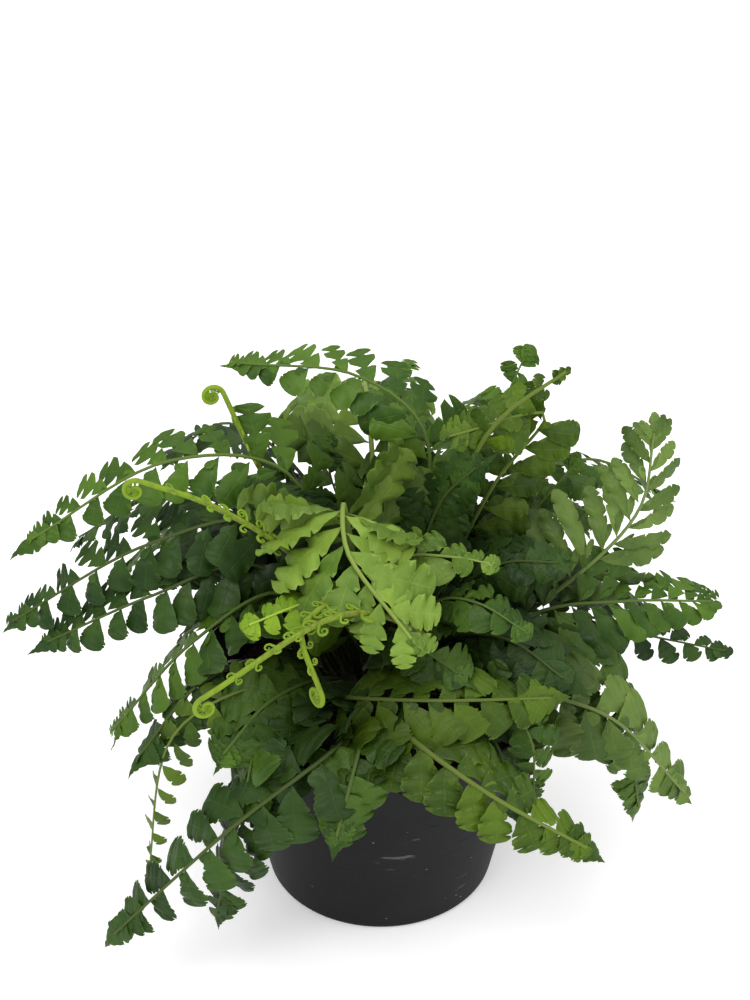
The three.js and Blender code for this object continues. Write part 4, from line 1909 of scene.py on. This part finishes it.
@dataclass
class Studio:
    """A pale floor, soft lights and the camera. Metres."""

    camera_place: tuple = (-0.002, -0.4848, 0.4273)
    aim: tuple = (-0.002, 0.0, 0.153)
    lens: float = 60
    sensor: float = 36
    nearest: float = 0.01
    floor: float = 8
    sky: float = 0.7

    def aimed(self, held: bpy.types.Object, place: tuple) -> None:
        """Puts a lamp or camera at a place, looking at the plant."""
        held.location = place
        held.rotation_euler = (Vector(self.aim) - Vector(place)).to_track_quat("-Z", "Y").to_euler()

    def light(self, name: str, place: tuple, size: float, power: float) -> None:
        """A soft square light that looks at the plant.

        Args:
            name: the lamp's name.
            place: where it hangs.
            size: the side of its square.
            power: its power in watts.
        """
        lamp = bpy.data.lights.new(name, "AREA")
        lamp.size = size
        lamp.energy = power
        self.aimed(placed(name, lamp), place)

    def build(self, finish: bpy.types.Material) -> None:
        """Sets up the floor, the world, the lights and the camera.

        Args:
            finish: the floor's material.
        """
        bm = bmesh.new()
        bmesh.ops.create_grid(bm, x_segments=8, y_segments=8, size=self.floor)
        ground = placed("studio_floor", made_mesh(bm, "studio_floor"))
        ground.data.materials.append(finish)
        world = bpy.data.worlds.new("studio")
        world.use_nodes = True
        sky = world.node_tree.nodes["Background"]
        sky.inputs["Color"].default_value = rgb(1.0, 1.0, 1.0)
        sky.inputs["Strength"].default_value = self.sky
        bpy.context.scene.world = world
        bpy.context.scene.view_settings.view_transform = "Standard"
        self.light("key", (-0.4, -0.8, 1.2), 0.6, 9)
        self.light("fill", (0.9, -0.5, 0.8), 0.8, 4)
        self.light("top", (0.1, 0.3, 1.5), 1.0, 6)
        camera = bpy.data.cameras.new("camera")
        camera.lens = self.lens
        camera.sensor_width = self.sensor
        camera.clip_start = self.nearest
        bpy.context.scene.camera = placed("camera", camera)
        self.aimed(bpy.context.scene.camera, self.camera_place)


# ---- Putting it together ----

def main() -> None:
    """Builds the plant, its pot and the studio."""
    logging.basicConfig(level=logging.INFO, format="%(name)s: %(message)s")
    places = GrowingPlaces()
    tree = GrowthTree()
    finishes = {green: green.value.material() for green in Green}
    curled = [Crozier(name, places.route(foot, points)) for name, foot, points in CURLED]
    fronds = [Frond(plan, places.route(plan.foot, (plan.knee, plan.crest, plan.tip))) for plan in PLANS]
    shelf = Shelf()
    for crozier in curled:
        crozier.build(tree, shelf, finishes[Green.YOUNG])
    for frond in fronds:
        frond.build(tree, shelf, finishes)
    Pot().build(PotFinish().material())
    Bed().build(ScatterTree(), SOIL_FINISH.material(), CROWN_FINISH.material())
    Studio().build(FloorFinish().material())
    remove_unused()


def remove_unused() -> None:
    """Removes the shelves' leaflets, which stand in no scene."""
    shown = set(bpy.context.scene.collection.all_objects)
    for thing in [o for o in bpy.data.objects if o not in shown]:
        bpy.data.objects.remove(thing)


if __name__ == "__main__":
    main()
